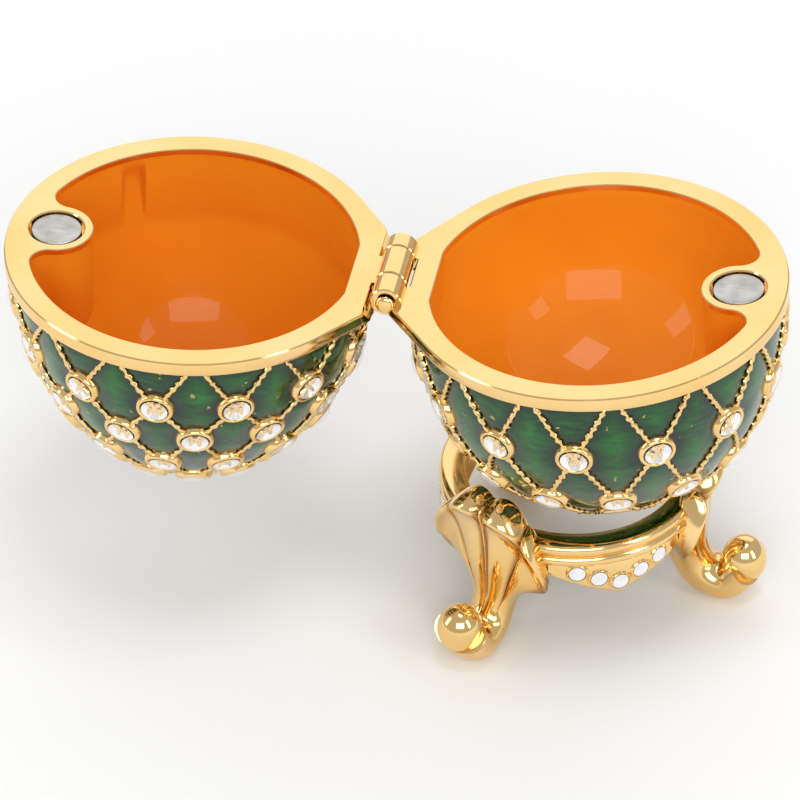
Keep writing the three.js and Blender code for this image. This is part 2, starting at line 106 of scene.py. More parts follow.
CUP_RIM = 2.35
PILLOW = {"rise": 0.16, "sunk": 0.06, "start": 0.3, "ease": 0.9}
BAND_PROFILE = [(-0.12, 1.72), (-0.03, 1.55), (0.0, 1.3), (0.0, 0.42), (-0.05, 0.16), (-0.2, 0.0)]
LIP_PROFILE = [(0.14, 0.0), (0.02, 0.1), (0.0, 0.75), (0.1, 0.85)]
MAGNET = {"radius": 3.0, "thickness": 1.8, "centre": 16.7, "sink": 0.15, "gap": 0.3}
BOSS = {"radius": 4.4, "fillet": 2.2, "depth": 12.0}
HINGE_OUT = 24.1
BARREL_RADIUS = 1.9
BARREL = (-5.75, 5.75)
MIDDLE_KNUCKLE = (-2.15, 3.1)
KNUCKLE_PLAY = 0.15
KNUCKLE_GAP = 0.3
EAR_HALF_WIDTH = 5.9
EAR_OUT = 23.9
HINGE_FLAT_OUT = 19.0
EGG_LEAN = 4.5
LID_OPEN = 173.0

# %% [markdown]
# ## Frames of the two halves
#
# Both halves turn about the hinge pin, so each half's drawing is placed from the pin: forward
# along the rim by the hinge's distance, and out by half the seam. The bowl leans back a little in
# its stand, and the lid lies open, turned further round the same pin.

# %% Placing a half's drawing in the frame
PIN = np.array(frame["joints"][0]["pos_m"]) / MM


def half_frame(turn_degrees, side):
    """Origin and axes of a half: forward is turned up from +X about the pin, left is -Y for the
    bowl and +Y for the lid, and the third axis, to the pole, is forward cross left."""
    a = math.radians(turn_degrees)
    forward = np.array([math.cos(a), 0.0, math.sin(a)])
    left = np.array([0.0, side, 0.0])
    pole = np.cross(forward, left)
    return PIN + HINGE_OUT * forward + SEAM / 2 * pole, np.stack([forward, left, pole])


BOWL_FRAME = half_frame(EGG_LEAN, -1.0)
LID_FRAME = half_frame(EGG_LEAN + LID_OPEN, 1.0)


def placed(points, place):
    """Points of a drawing in its frame's place: origin plus each coordinate times its axis."""
    origin, axes = place
    return origin + points @ axes


print("bowl rim centre", np.round(BOWL_FRAME[0], 2), "lid rim centre", np.round(LID_FRAME[0], 2))

# %% [markdown]
# ## From grids of points to meshes
#
# Every piece here is made of grids: rows by columns of points worked out in one go. A grid is
# closed into a skin by joining each point to the next in its row and column. Rows that shrink to
# a point close a pole, and merging the doubled points afterwards leaves a sealed surface.


# %% Mesh helpers
def grid_quads(rows, columns, wrap_rows=False, wrap_columns=True):
    """Corner numbers of the quads of a grid, as an array: each cell joins a point with the next
    one in the row, the one above that, and the one above the first."""
    r = np.arange(rows if wrap_rows else rows - 1)[:, None]
    c = np.arange(columns if wrap_columns else columns - 1)[None, :]
    up, along = (r + 1) % rows, (c + 1) % columns
    return np.stack(
        [r * columns + c, r * columns + along, up * columns + along, up * columns + c], -1
    ).reshape(-1, 4)


def many_quads(count, quads, points_each):
    """The same quads for a number of equal grids laid one after another in the point list."""
    return (quads[None] + np.arange(count)[:, None, None] * points_each).reshape(-1, 4)


def joined(parts):
    """Several (points, faces, slot numbers) joined into one such triple."""
    points, faces, slots, start = [], [], [], 0
    for part_points, part_faces, part_slots in parts:
        flat = part_points.reshape(-1, 3)
        points.append(flat)
        faces.extend((part_faces + start).tolist())
        slots.append(np.broadcast_to(part_slots, len(part_faces)))
        start += len(flat)
    return np.concatenate(points), faces, np.concatenate(slots)


def piece(name, body, points, faces, slots, materials, smooth=35.0, marks=None):
    """A named object from points in millimetres. Doubles are merged, normals made outward, and
    edges sharper than the smooth angle stay crisp. The marks are values kept on the points."""
    mesh = bpy.data.meshes.new(name)
    mesh.from_pydata((points * MM).tolist(), [], [list(face) for face in faces])
    mesh.polygons.foreach_set("material_index", np.asarray(slots, np.int32))
    for label, values in (marks or {}).items():
        mesh.attributes.new(label, "FLOAT", "POINT").data.foreach_set(
            "value", np.asarray(values, np.float32).ravel()
        )
    for material in materials:
        mesh.materials.append(material)
    work = bmesh.new()
    work.from_mesh(mesh)
    bmesh.ops.remove_doubles(work, verts=work.verts, dist=2e-7)
    bmesh.ops.dissolve_degenerate(work, dist=1e-8, edges=work.edges)
    bmesh.ops.recalc_face_normals(work, faces=work.faces)
    for face in work.faces:
        face.smooth = True
    limit = math.radians(smooth)
    for edge in work.edges:
        edge.smooth = len(edge.link_faces) == 2 and edge.calc_face_angle(0.0) < limit
    work.to_mesh(mesh)
    work.free()
    made = bpy.data.objects.new(name, mesh)
    bpy.context.scene.collection.objects.link(made)
    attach(made, body)
    return made


# %% [markdown]
# ## Finishes: shared effects
#
# Cast and plated work is never even: the plating is slightly cloudy, castings ripple, and enamel
# varies in depth. Those effects are built once as node groups, and each material gives them its
# own scale and colours. They are noise read in object space, so they stay with the piece.


# %% Node helpers and shared groups
def new_group(name, inputs, outputs):
    """An empty shader node group with named sockets, and its input and output nodes."""
    tree = bpy.data.node_groups.new(name, "ShaderNodeTree")
    for label, kind, default in inputs:
        socket = tree.interface.new_socket(label, in_out="INPUT", socket_type=kind)
        if default is not None:
            socket.default_value = default
    for label, kind in outputs:
        tree.interface.new_socket(label, in_out="OUTPUT", socket_type=kind)
    return tree, tree.nodes.new("NodeGroupInput"), tree.nodes.new("NodeGroupOutput")


FLOAT, COLOUR, VECTOR = "NodeSocketFloat", "NodeSocketColor", "NodeSocketVector"


def cloudy_value():
    """Group: noise at a scale, mapped from Low to High. For roughness that varies."""
    tree, given, result = new_group(
        "cloudy value",
        [
            ("Vector", VECTOR, None),
            ("Scale", FLOAT, 300.0),
            ("Low", FLOAT, 0.1),
            ("High", FLOAT, 0.2),
        ],
        [("Value", FLOAT)],
    )
    noise = tree.nodes.new("ShaderNodeTexNoise")
    noise.inputs["Detail"].default_value = 4.0
    spread = tree.nodes.new("ShaderNodeMapRange")
    spread.inputs["From Min"].default_value = 0.3
    spread.inputs["From Max"].default_value = 0.7
    tree.links.new(given.outputs["Vector"], noise.inputs["Vector"])
    tree.links.new(given.outputs["Scale"], noise.inputs["Scale"])
    tree.links.new(noise.outputs["Fac"], spread.inputs["Value"])
    tree.links.new(given.outputs["Low"], spread.inputs["To Min"])
    tree.links.new(given.outputs["High"], spread.inputs["To Max"])
    tree.links.new(spread.outputs["Result"], result.inputs["Value"])
    return tree


def two_tone():
    """Group: two colours mixed by noise at a scale. For plating, enamel and foil."""
    tree, given, result = new_group(
        "two tone",
        [
            ("Vector", VECTOR, None),
            ("Scale", FLOAT, 200.0),
            ("Tone A", COLOUR, (1, 1, 1, 1)),
            ("Tone B", COLOUR, (0.5, 0.5, 0.5, 1)),
        ],
        [("Color", COLOUR)],
    )
    noise = tree.nodes.new("ShaderNodeTexNoise")
    noise.inputs["Detail"].default_value = 3.0
    spread = tree.nodes.new("ShaderNodeMapRange")
    spread.inputs["From Min"].default_value = 0.35
    spread.inputs["From Max"].default_value = 0.65
    mix = tree.nodes.new("ShaderNodeMix")
    mix.data_type = "RGBA"
    tree.links.new(given.outputs["Vector"], noise.inputs["Vector"])
    tree.links.new(given.outputs["Scale"], noise.inputs["Scale"])
    tree.links.new(noise.outputs["Fac"], spread.inputs["Value"])
    tree.links.new(spread.outputs["Result"], mix.inputs["Factor"])
    tree.links.new(given.outputs["Tone A"], mix.inputs["A"])
    tree.links.new(given.outputs["Tone B"], mix.inputs["B"])
    tree.links.new(mix.outputs["Result"], result.inputs["Color"])
    return tree


def ripple_height():
    """Group: broad ripples plus fine grain, added with their own weights, as a bump height."""
    tree, given, result = new_group(
        "ripple height",
        [
            ("Vector", VECTOR, None),
            ("Broad Scale", FLOAT, 120.0),
            ("Fine Scale", FLOAT, 1500.0),
            ("Fine Weight", FLOAT, 0.2),
        ],
        [("Height", FLOAT)],
    )
    broad = tree.nodes.new("ShaderNodeTexNoise")
    fine = tree.nodes.new("ShaderNodeTexNoise")
    weigh = tree.nodes.new("ShaderNodeMath")
    weigh.operation = "MULTIPLY_ADD"
    tree.links.new(given.outputs["Vector"], broad.inputs["Vector"])
    tree.links.new(given.outputs["Vector"], fine.inputs["Vector"])
    tree.links.new(given.outputs["Broad Scale"], broad.inputs["Scale"])
    tree.links.new(given.outputs["Fine Scale"], fine.inputs["Scale"])
    tree.links.new(fine.outputs["Fac"], weigh.inputs[0])
    tree.links.new(given.outputs["Fine Weight"], weigh.inputs[1])
    tree.links.new(broad.outputs["Fac"], weigh.inputs[2])
    tree.links.new(weigh.outputs["Value"], result.inputs["Height"])
    return tree


CLOUDY, TWO_TONE, RIPPLE = cloudy_value(), two_tone(), ripple_height()
print("node groups:", [g.name for g in bpy.data.node_groups])


# %% Material builder
class Finish:
    """A material under construction: its tree, its Principled BSDF, and object coordinates."""

    def __init__(self, name, **plain):
        self.material = bpy.data.materials.new(name)
        self.material.use_nodes = True
        self.tree = self.material.node_tree
        self.shader = self.tree.nodes["Principled BSDF"]
        self.place = self.tree.nodes.new("ShaderNodeTexCoord").outputs["Object"]
        for label, value in plain.items():
            self.shader.inputs[label.replace("_", " ")].default_value = value

    def group(self, tree, vector=None, **values):
        """Places a shared group with this finish's own values."""
        node = self.tree.nodes.new("ShaderNodeGroup")
        node.node_tree = tree
        for label, value in values.items():
            node.inputs[label.replace("_", " ")].default_value = value
        self.tree.links.new(vector or self.place, node.inputs["Vector"])
        return node.outputs[0]

    def stretched(self, scale):
        """Object coordinates scaled differently along each axis, for a grain with a direction."""
        node = self.tree.nodes.new("ShaderNodeMapping")
        node.inputs["Scale"].default_value = scale
        self.tree.links.new(self.place, node.inputs["Vector"])
        return node.outputs["Vector"]

    def mark(self, label):
        """A value kept on the mesh's points."""
        node = self.tree.nodes.new("ShaderNodeAttribute")
        node.attribute_name = label
        return node.outputs["Fac"]

    def math(self, operation, a, b):
        """One arithmetic node; a and b are numbers or sockets."""
        node = self.tree.nodes.new("ShaderNodeMath")
        node.operation = operation
        for socket, value in zip(node.inputs, (a, b)):
            if isinstance(value, (int, float)):
                socket.default_value = value
            else:
                self.tree.links.new(value, socket)
        return node.outputs[0]

    def mix(self, factor, a, b):
        """Two colours mixed by a factor; each is four numbers or a socket."""
        node = self.tree.nodes.new("ShaderNodeMix")
        node.data_type = "RGBA"
        for label, value in (("Factor", factor), ("A", a), ("B", b)):
            if isinstance(value, (tuple, float)):
                node.inputs[label].default_value = value
            else:
                self.tree.links.new(value, node.inputs[label])
        return node.outputs["Result"]

    def bump(self, height, distance, strength=1.0):
        """Feeds a height through a Bump node to the shader's normal."""
        node = self.tree.nodes.new("ShaderNodeBump")
        node.inputs["Distance"].default_value = distance
        node.inputs["Strength"].default_value = strength
        self.tree.links.new(height, node.inputs["Height"])
        self.tree.links.new(node.outputs["Normal"], self.shader.inputs["Normal"])

    def feed(self, label, socket):
        """Links a socket to one of the shader's inputs."""
        self.tree.links.new(socket, self.shader.inputs[label])


# %% [markdown]
# ## Gold plate
#
# The bare metal is zinc alloy with a bright gold plate. Real plate is a mirror with a faint
# orange peel. A metallic shader with two close golds, a cloudy roughness and a very low ripple
# gives that. A mark worked out with each shape mixes a deep brown only into the grooves: painted
# shade in the flutes, with some dirt and old polish.

# %% Gold plate
gold = Finish("gold plate", Metallic=1.0)
plate = gold.group(TWO_TONE, Scale=90.0, Tone_A=(0.94, 0.66, 0.30, 1), Tone_B=(0.90, 0.60, 0.23, 1))
# the grooves' mark mixes in deep brown: painted shade in the flutes, with some dirt
gold.feed("Base Color", gold.mix(gold.mark("groove_dirt_and_shade"), plate, (0.42, 0.19, 0.04, 1)))
gold.feed("Roughness", gold.group(CLOUDY, Scale=260.0, Low=0.07, High=0.15))
gold.bump(gold.group(RIPPLE, Broad_Scale=140.0, Fine_Scale=1400.0, Fine_Weight=0.10), 0.00006, 0.6)
GOLD = gold.material
print("made", GOLD.name)

# %% [markdown]
# ## Green enamel
#
# The outside enamel is clear green glass over a textured base. It pools deep and dark beside the
# wires, and is thin and bright in the middle of each cell, with fine wavy lines of the base
# showing through. The "cell" mark is the distance to the nearest wire or cup, so it can mix the
# dark edge into the bright middle. A few specks of bare metal show where a bubble burst, made by
# keeping only the peaks of a fine noise. A clear coat gives the wet gloss.

# %% Green enamel
green = Finish("green enamel", Metallic=0.5, Coat_Weight=0.6, Coat_Roughness=0.03, IOR=1.45)
lines = green.group(
    TWO_TONE,
    vector=green.stretched((1.0, 1.0, 4.0)),
    Scale=520.0,
    Tone_A=(0.003, 0.045, 0.008, 1),
    Tone_B=(0.010, 0.20, 0.018, 1),
)
clouds = green.group(
    TWO_TONE,
    Scale=150.0,
    Tone_A=(0.002, 0.035, 0.010, 1),
    Tone_B=(0.010, 0.17, 0.016, 1),
)
middle = green.mix(0.5, lines, clouds)
deep = green.mix(green.mark("cell"), (0.004, 0.014, 0.012, 1), middle)
chips = green.group(CLOUDY, Scale=620.0, Low=-2.1, High=1.05)
bare = green.math("MULTIPLY", green.math("GREATER_THAN", chips, 0.98), 0.8)
green.feed("Base Color", green.mix(bare, deep, (0.55, 0.36, 0.12, 1)))
green.feed("Roughness", green.group(CLOUDY, Scale=400.0, Low=0.12, High=0.3))
green.bump(green.group(RIPPLE, Broad_Scale=160.0, Fine_Scale=900.0, Fine_Weight=0.15), 0.00025, 0.6)
GREEN = green.material
print("made", GREEN.name)

# %% [markdown]
# ## Orange enamel
#
# The lining is opaque orange enamel, poured thick, so it is smooth as glass. Only its colour
# drifts a little, and its gloss carries the reflections of the lamps.

# %% Orange enamel
orange = Finish(
    "orange enamel", Coat_Weight=0.3, Coat_Roughness=0.02, IOR=1.5, Specular_IOR_Level=0.05
)
orange_tones = {"Tone_A": (0.86, 0.285, 0.014, 1), "Tone_B": (0.80, 0.245, 0.011, 1)}
orange.feed("Base Color", orange.group(TWO_TONE, Scale=45.0, **orange_tones))
orange.feed("Roughness", orange.group(CLOUDY, Scale=200.0, Low=0.22, High=0.32))
orange_ripple = orange.group(RIPPLE, Broad_Scale=60.0, Fine_Scale=500.0, Fine_Weight=0.05)
orange.bump(orange_ripple, 0.00012, 0.5)
ORANGE = orange.material
print("made", ORANGE.name)

# %% [markdown]
# ## Magnets and crystals
#
# The magnets are nickel plated, dulled and scratched by the opposite half. The crystals are foil
# backed glass: clear facets in front, and a silver foil on the pointed back that throws the light
# out again. Full refraction would keep the lamps from lighting the foil, and the stones would look
# brown. So the front facets are a shell that is mostly transparent but still mirrors the lamps,
# and the foil is a second material on the back facets.

# %% Magnet nickel, crystal and foil
nickel = Finish("worn nickel", Metallic=1.0)
nickel.feed(
    "Base Color",
    nickel.group(TWO_TONE, Scale=500.0, Tone_A=(0.62, 0.60, 0.58, 1), Tone_B=(0.46, 0.44, 0.42, 1)),
)
scratches = nickel.stretched((1.0, 9.0, 1.0))
nickel.feed("Roughness", nickel.group(CLOUDY, vector=scratches, Scale=350.0, Low=0.22, High=0.5))
nickel.bump(
    nickel.group(RIPPLE, vector=scratches, Broad_Scale=260.0, Fine_Scale=900.0, Fine_Weight=0.5),
    0.00008,
    0.5,
)
NICKEL = nickel.material

crystal = Finish("crystal", Base_Color=(1.0, 1.0, 1.0, 1), Alpha=0.16, Roughness=0.0, IOR=1.9)
CRYSTAL = crystal.material
foil = Finish("crystal foil", Metallic=0.75)
foil.feed(
    "Base Color",
    foil.group(TWO_TONE, Scale=900.0, Tone_A=(0.97, 0.97, 0.97, 1), Tone_B=(0.86, 0.90, 0.96, 1)),
)
foil.feed("Roughness", foil.group(CLOUDY, Scale=700.0, Low=0.05, High=0.2))
FOIL = foil.material
print("made", NICKEL.name, CRYSTAL.name, FOIL.name)

# %% [markdown]
# ## The two shells
#
# Each half is one casting: a skin outside, a band and a flat rim of bare gold, and a lined hollow
# inside. It is drawn as a grid that runs from the outer pole over the rim to the inner pole, with
# the flat filled in apart. Beside the hinge the rim widens into a straight ear. Opposite it, the
# hollow leaves a round boss for the magnet. So the rows' radii change round the half.


# %% The egg's curves
def around_axis(radius, angle, height):
    """Points at a radius, an angle and a height from the upright axis."""
    radius, angle, height = np.broadcast_arrays(radius, angle, height)
    return np.stack([radius * np.cos(angle), radius * np.sin(angle), height], -1)


def skin_radius(skin, height):
    """Radius times (1 - (height / full height)^power)^(1 / power), a superellipse."""
    share = np.clip(np.asarray(height, float) / skin["height"], 0.0, 1.0)
    return skin["radius"] * (1 - share ** skin["power"]) ** (1 / skin["power"])


def skin_normal(skin, height):
    """The superellipse's outward slope at a height, as unit (out, up), from its gradient."""
    height = np.asarray(height, float)
    out = (skin_radius(skin, height) / skin["radius"]) ** (skin["power"] - 1) / skin["radius"]
    up = (height / skin["height"]) ** (skin["power"] - 1) / skin["height"]
    length = np.hypot(out, up)
    return out / length, up / length


def even_heights(skin, start, count):
    """Heights from start to the pole, at even turns of the curve's own angle."""
    first = math.asin((start / skin["height"]) ** (skin["power"] / 2))
    angles = np.linspace(first, math.pi / 2, count)
    return skin["height"] * np.sin(angles) ** (2 / skin["power"])


def lid_hollow(height):
    """The lid's hollow: its skin moved in by a wall that thins away from the rim."""
    along = even_heights(LID_SKIN, 0.0, 200)[:-1]
    out, up = skin_normal(LID_SKIN, along)
    wall = LID_WALL + (RIM_WIDTH - LID_WALL) * np.clip(1 - along / LID_TAPER, 0, 1)
    radius = skin_radius(LID_SKIN, along) - out * wall
    depth = along - up * wall
    full = LID_HOLLOW_HEIGHT
    depth[0], radius[0] = 0.0, RIM_RADIUS - RIM_WIDTH
    keep = depth < full - 0.1
    depth, radius = depth[keep], radius[keep]
    order = np.argsort(depth)
    return np.interp(height, np.append(depth[order], full), np.append(radius[order], 0.0))


def bowl_hollow(height):
    """The bowl's hollow: a superellipse of its own, much less deep than the skin."""
    return skin_radius(BOWL_HOLLOW, height)


# %% [markdown]
# ### Outlines of the hollow and the rim
#
# The hollow's edge is a circle with the boss let in, where two small fillets touch both the boss
# and the wall. It is laid out as arcs and straight pieces and then divided evenly by its length,
# so that the tight curves get as many columns as they need.


# %% Outlines
ROUND = 392  # columns round a half, 28 to a column of cups


def arc(centre, radius, start, stop, count):
    """Points on a circle from one angle to another."""
    angle = np.linspace(start, stop, count)
    return np.stack([centre[0] + radius * np.cos(angle), centre[1] + radius * np.sin(angle)], -1)


def hollow_outline():
    """The hollow's edge at the rim, from the hinge side round by +Y, cut straight at the hinge."""
    wall = RIM_RADIUS - RIM_WIDTH
    a, b = BOSS["radius"] + BOSS["fillet"], wall - BOSS["fillet"]
    x = (b * b - a * a + MAGNET["centre"] ** 2) / (2 * MAGNET["centre"])
    y = math.sqrt(b * b - x * x)
    to_wall, to_boss = math.atan2(y, x), math.atan2(y, x - MAGNET["centre"])
    line = np.concatenate([
        arc((0, 0), wall, -math.pi, -to_wall, 2000),
        arc((x, -y), BOSS["fillet"], -to_wall, math.pi - to_boss, 300)[1:],
        arc((MAGNET["centre"], 0), BOSS["radius"], -to_boss, -2 * math.pi + to_boss, 600)[1:],
        arc((x, y), BOSS["fillet"], math.pi + to_boss - 2 * math.pi, to_wall, 300)[1:],
        arc((0, 0), wall, to_wall, math.pi, 2000)[1:],
    ])
    line[:, 0] = np.maximum(line[:, 0], -HINGE_FLAT_OUT)
    length = np.append(0, np.cumsum(np.hypot(*np.diff(line, axis=0).T)))
    even = np.linspace(0, length[-1], ROUND + 1)[:-1]
    return np.stack([np.interp(even, length, line[:, 0]), np.interp(even, length, line[:, 1])], -1)


def rim_angles(notches):
    """Even angles from -180 degrees, with two columns drawn together at each notch's edge."""
    angles = np.linspace(-math.pi, math.pi, ROUND + 1)[:-1]
    for edge in notches:
        at = math.atan2(edge, -(HINGE_OUT - BARREL_RADIUS - KNUCKLE_GAP))
        near = int(np.argmin(np.abs(angles - at)))
        angles[near], angles[(near + 1) % ROUND] = at - 0.0004, at + 0.0004
    return angles


def rim_radius(angles, height, reliefs):
    """The band's radius: a circle, straight across the ear and along its two tangents, and cut
    back to a round hollow where the other half's knuckles turn."""
    off = np.abs(np.abs(angles) - math.pi)
    corner = math.atan2(EAR_HALF_WIDTH, EAR_OUT)
    touch = corner + math.acos(RIM_RADIUS / math.hypot(EAR_OUT, EAR_HALF_WIDTH))
    tangent = RIM_RADIUS / np.cos(np.clip(touch - off, 0, None))
    radius = np.where(off < corner, EAR_OUT / np.cos(off), tangent)
    room = math.sqrt(max((BARREL_RADIUS + KNUCKLE_GAP) ** 2 - height**2, 0.0))
    cut = (HINGE_OUT - room) / np.cos(off)
    side = np.abs(np.tan(off)) * (HINGE_OUT - BARREL_RADIUS - KNUCKLE_GAP) * np.sign(angles)
    for low, high in reliefs:
        relieved = (side > low) & (side < high) & (off < 0.5)
        radius = np.where(relieved, np.minimum(radius, cut), radius)
    return radius


def moved_out(line, distance):
    """A closed outline moved along its own normal, away from the hollow."""
    along = np.roll(line, -1, axis=0) - np.roll(line, 1, axis=0)
    along /= np.linalg.norm(along, axis=1, keepdims=True)
    return line + distance * np.stack([along[:, 1], -along[:, 0]], -1)


OUTLINE = hollow_outline()
print("hollow outline", len(OUTLINE), "points, nearest to the axis", np.hypot(*OUTLINE.T).min())

# %% [markdown]
# ### The net of wires
#
# Pairs of wires leave the band at each column, travel sideways as they go down, and cross under
# the cups. Sideways travel against height is one smooth curve, used three times: for the wires,
# for the cells' "cell" mark, and for the pillow that the enamel makes between them.


# %% The wires' course
def travel(course, height):
    """Columns travelled at a height, straight between the course's corners, slightly eased."""
    heights, columns = np.array(course).T
    eased = [np.interp(height + shift, heights, columns) for shift in (-0.5, 0.0, 0.5)]
    return np.mean(eased, axis=0)


def cell_distance(skin, rows, course, angles, height):
    """Distance from a point on the skin to the nearest wire or cup rim, in millimetres: across
    the wires it is the leftover part of a column times the column's width."""
    radius = skin_radius(skin, height)
    column = (angles - math.pi) / COLUMN_STEP
    went = travel(course, height)
    width = COLUMN_STEP * radius
    wires = [np.abs((column + way * went + 0.5) % 1.0 - 0.5) * width * 0.86 for way in (1, -1)]
    nearest = np.minimum(*wires)
    inside_ring = skin_radius(skin, course[-1][0]) - radius
    nearest = np.where(height > course[-1][0], inside_ring, nearest)
    nearest = np.minimum(nearest, (height - BAND_HEIGHT) * 1.2)
    for row, half in rows:
        aside = np.abs((column - half + 0.5) % 1.0 - 0.5) * width
        down = (height - row) / np.clip(skin_normal(skin, row)[0], 0.3, 1.0)
        nearest = np.minimum(nearest, np.hypot(aside, down) - CUP_RIM)
    return np.clip(nearest, 0, None)


# %% Turned rings
def turned(profile, steps, closed=True):
    """A profile of (radius, height) carried round the vertical axis; closed profiles make a ring
    and open ones start and end on the axis."""
    radius, height = np.array(profile, float).T
    angle = np.linspace(0, 2 * math.pi, steps + 1)[:-1]
    points = around_axis(radius[:, None], angle, height[:, None])
    return points.reshape(-1, 3), grid_quads(len(radius), steps, wrap_rows=closed)


# %% [markdown]
# ### The flat rim and the magnet's pocket
#
# The flat has an outer edge, the hollow's edge and the round mouth of the pocket, so it is no
# grid. A constrained triangulation fills it between those three outlines. A Boolean cut could
# bore the pocket too, but this keeps the rim flat and the edges exact.


# %% Flat and pocket
POCKET = {"radius": MAGNET["radius"] + MAGNET["gap"], "edge": 0.15, "steps": 72}
POCKET_DEPTH = MAGNET["sink"] + MAGNET["thickness"] + MAGNET["gap"]


def magnet_pocket():
    """The pocket as a turned cup about the magnet's middle, with a broken edge at its mouth."""
    wide = POCKET["radius"]
    points, quads = turned([
        (wide + POCKET["edge"], 0), (wide, POCKET["edge"]), (wide, POCKET_DEPTH), (0, POCKET_DEPTH),
    ], POCKET["steps"], closed=False)
    return points + np.array([MAGNET["centre"], 0, 0]), quads


def inside_outline(points, outline):
    """Whether points lie inside a closed outline: the edges that a ray to the right crosses are
    counted, and an odd count is inside."""
    a, b = outline[None], np.roll(outline, -1, axis=0)[None]
    x, y = points[:, None, 0], points[:, None, 1]
    spans = (a[..., 1] > y) != (b[..., 1] > y)
    rise = np.where(spans, b[..., 1] - a[..., 1], 1.0)
    cross = a[..., 0] + (y - a[..., 1]) / rise * (b[..., 0] - a[..., 0])
    return ((spans & (x < cross)).sum(axis=1) % 2) == 1


def rim_flat(outer, inner):
    """Triangles at height 0 between the outer edge, the hollow's edge and the pocket's mouth."""
    mouth = magnet_pocket()[0][: POCKET["steps"]]
    loops = [np.asarray(loop)[:, :2] for loop in (outer, inner, mouth)]
    edges, start = [], 0
    for loop in loops:
        number = np.arange(len(loop))
        edges += (np.stack([number, (number + 1) % len(loop)], -1) + start).tolist()
        start += len(loop)
    flat = np.concatenate(loops)
    found = delaunay_2d_cdt([Vector(p) for p in flat.tolist()], edges, [], 0, 1e-7)
    points = np.array([tuple(v) for v in found[0]])
    triangles = np.array(found[2])
    middle = points[triangles].mean(axis=1)
    metal = inside_outline(middle, loops[0]) & ~inside_outline(middle, loops[1])
    metal &= ~inside_outline(middle, loops[2])
    return np.column_stack([points, np.zeros(len(points))]), triangles[metal]


# %% Shell of a half
def shell(skin, hollow, hollow_height, rows, course, reliefs):
    """A half as three parts: a grid of skin, band, lip and hollow from pole to pole, without its
    flat rim, then the flat, then the magnet's pocket. The skin is the superellipse plus a pillow
    that swells with the distance from the wires. Returns the parts and the grid's cell marks."""
    angles = rim_angles([edge for relief in reliefs for edge in relief])
    outer_heights = even_heights(skin, BAND_HEIGHT, 96)[::-1][:, None]
    grid_angles = np.broadcast_to(angles, (len(outer_heights), ROUND))
    away = cell_distance(skin, rows, course, grid_angles, outer_heights)
    swell = 1 - np.exp(-np.clip(away - PILLOW["start"], 0, None) / PILLOW["ease"])
    pillow = PILLOW["rise"] * swell - PILLOW["sunk"]
    out, up = skin_normal(skin, outer_heights)
    radius = skin_radius(skin, outer_heights) + pillow * out
    height = outer_heights + pillow * up * (outer_heights < skin["height"] - 0.01)
    skin_rows = around_axis(radius, angles, height)

    band_rows = []
    for inset, depth in BAND_PROFILE:
        edge = rim_radius(angles, depth, reliefs) + inset
        band_rows.append(around_axis(edge, angles, depth))

    lip_rows = []
    for inset, depth in LIP_PROFILE:
        lip_rows.append(np.column_stack([moved_out(OUTLINE, inset), np.full(ROUND, depth)]))
    edge_x, edge_y, _ = lip_rows[-1].T
    reach, turn = np.hypot(edge_x, edge_y), np.arctan2(edge_y, edge_x)

    share = np.linspace(0, 1, 64)[1:]
    lip_depth = LIP_PROFILE[-1][1]
    depths = lip_depth + (hollow_height - lip_depth) * np.sin(share * math.pi / 2)[:, None]
    wall = hollow(depths)
    slope = MAGNET["centre"] - BOSS["radius"] + np.clip(depths - BOSS["depth"], 0, None)
    ahead = np.clip(np.cos(turn), 0.3, 1)
    boss = np.where(np.cos(turn) > 0.5, np.maximum(reach, slope / ahead), reach)
    inner = np.minimum(wall, boss)
    hollow_rows = around_axis(inner, turn, depths)

    points = np.concatenate([skin_rows, band_rows, lip_rows, hollow_rows])
    quads = grid_quads(len(points), ROUND)
    row_of = np.arange(len(points) - 1)
    enamel_end, gold_end = len(skin_rows) - 1, len(skin_rows) + len(band_rows) + len(lip_rows) - 1
    slots = np.repeat(np.select([row_of < enamel_end, row_of < gold_end], [1, 0], 2), ROUND)
    flat_row = np.repeat(row_of == len(skin_rows) + len(band_rows) - 1, ROUND)
    cell = np.zeros(points.shape[:2])
    cell[: len(skin_rows)] = np.clip((away - 0.25) / 2.4, 0, 1) ** 0.8
    parts = [(points.reshape(-1, 3), quads[~flat_row], slots[~flat_row])]
    parts.append((*rim_flat(band_rows[-1], lip_rows[0]), 0))
    parts.append((*magnet_pocket(), 0))
    return parts, cell.ravel()


# %% [markdown]
# ### Knuckles
#
# The hinge is a barrel of three knuckles round a pin: the outer two belong to the bowl and the
# middle one to the lid. Each is a turned ring with broken edges, drawn as a profile carried round
# the pin's line.


# %% Knuckles
def knuckle(near, far):
    """A ring about the pin from near to far along Y, in a half's drawing."""
    bore, edge = 0.8, 0.14
    points, quads = turned([
        (bore, near + 0.1), (bore + 0.1, near), (BARREL_RADIUS - edge, near),
        (BARREL_RADIUS, near + edge), (BARREL_RADIUS, far - edge), (BARREL_RADIUS - edge, far),
        (bore + 0.1, far), (bore, far - 0.1),
    ], 48)
    along = points[:, 2].copy()
    return np.stack([points[:, 0] - HINGE_OUT, along, points[:, 1] - SEAM / 2], -1), quads


def knuckle_in(half_side, near, far):
    """A knuckle in a half's drawing, whose +Y is the frame's +Y or -Y."""
    return knuckle(near, far) if half_side > 0 else knuckle(-far, -near)


# %% Bowl and lid shells
outer_gaps = [(-9.0, MIDDLE_KNUCKLE[0]), (MIDDLE_KNUCKLE[1], 9.0)]
middle_gap = [(-MIDDLE_KNUCKLE[1] - KNUCKLE_PLAY, -MIDDLE_KNUCKLE[0] + KNUCKLE_PLAY)]


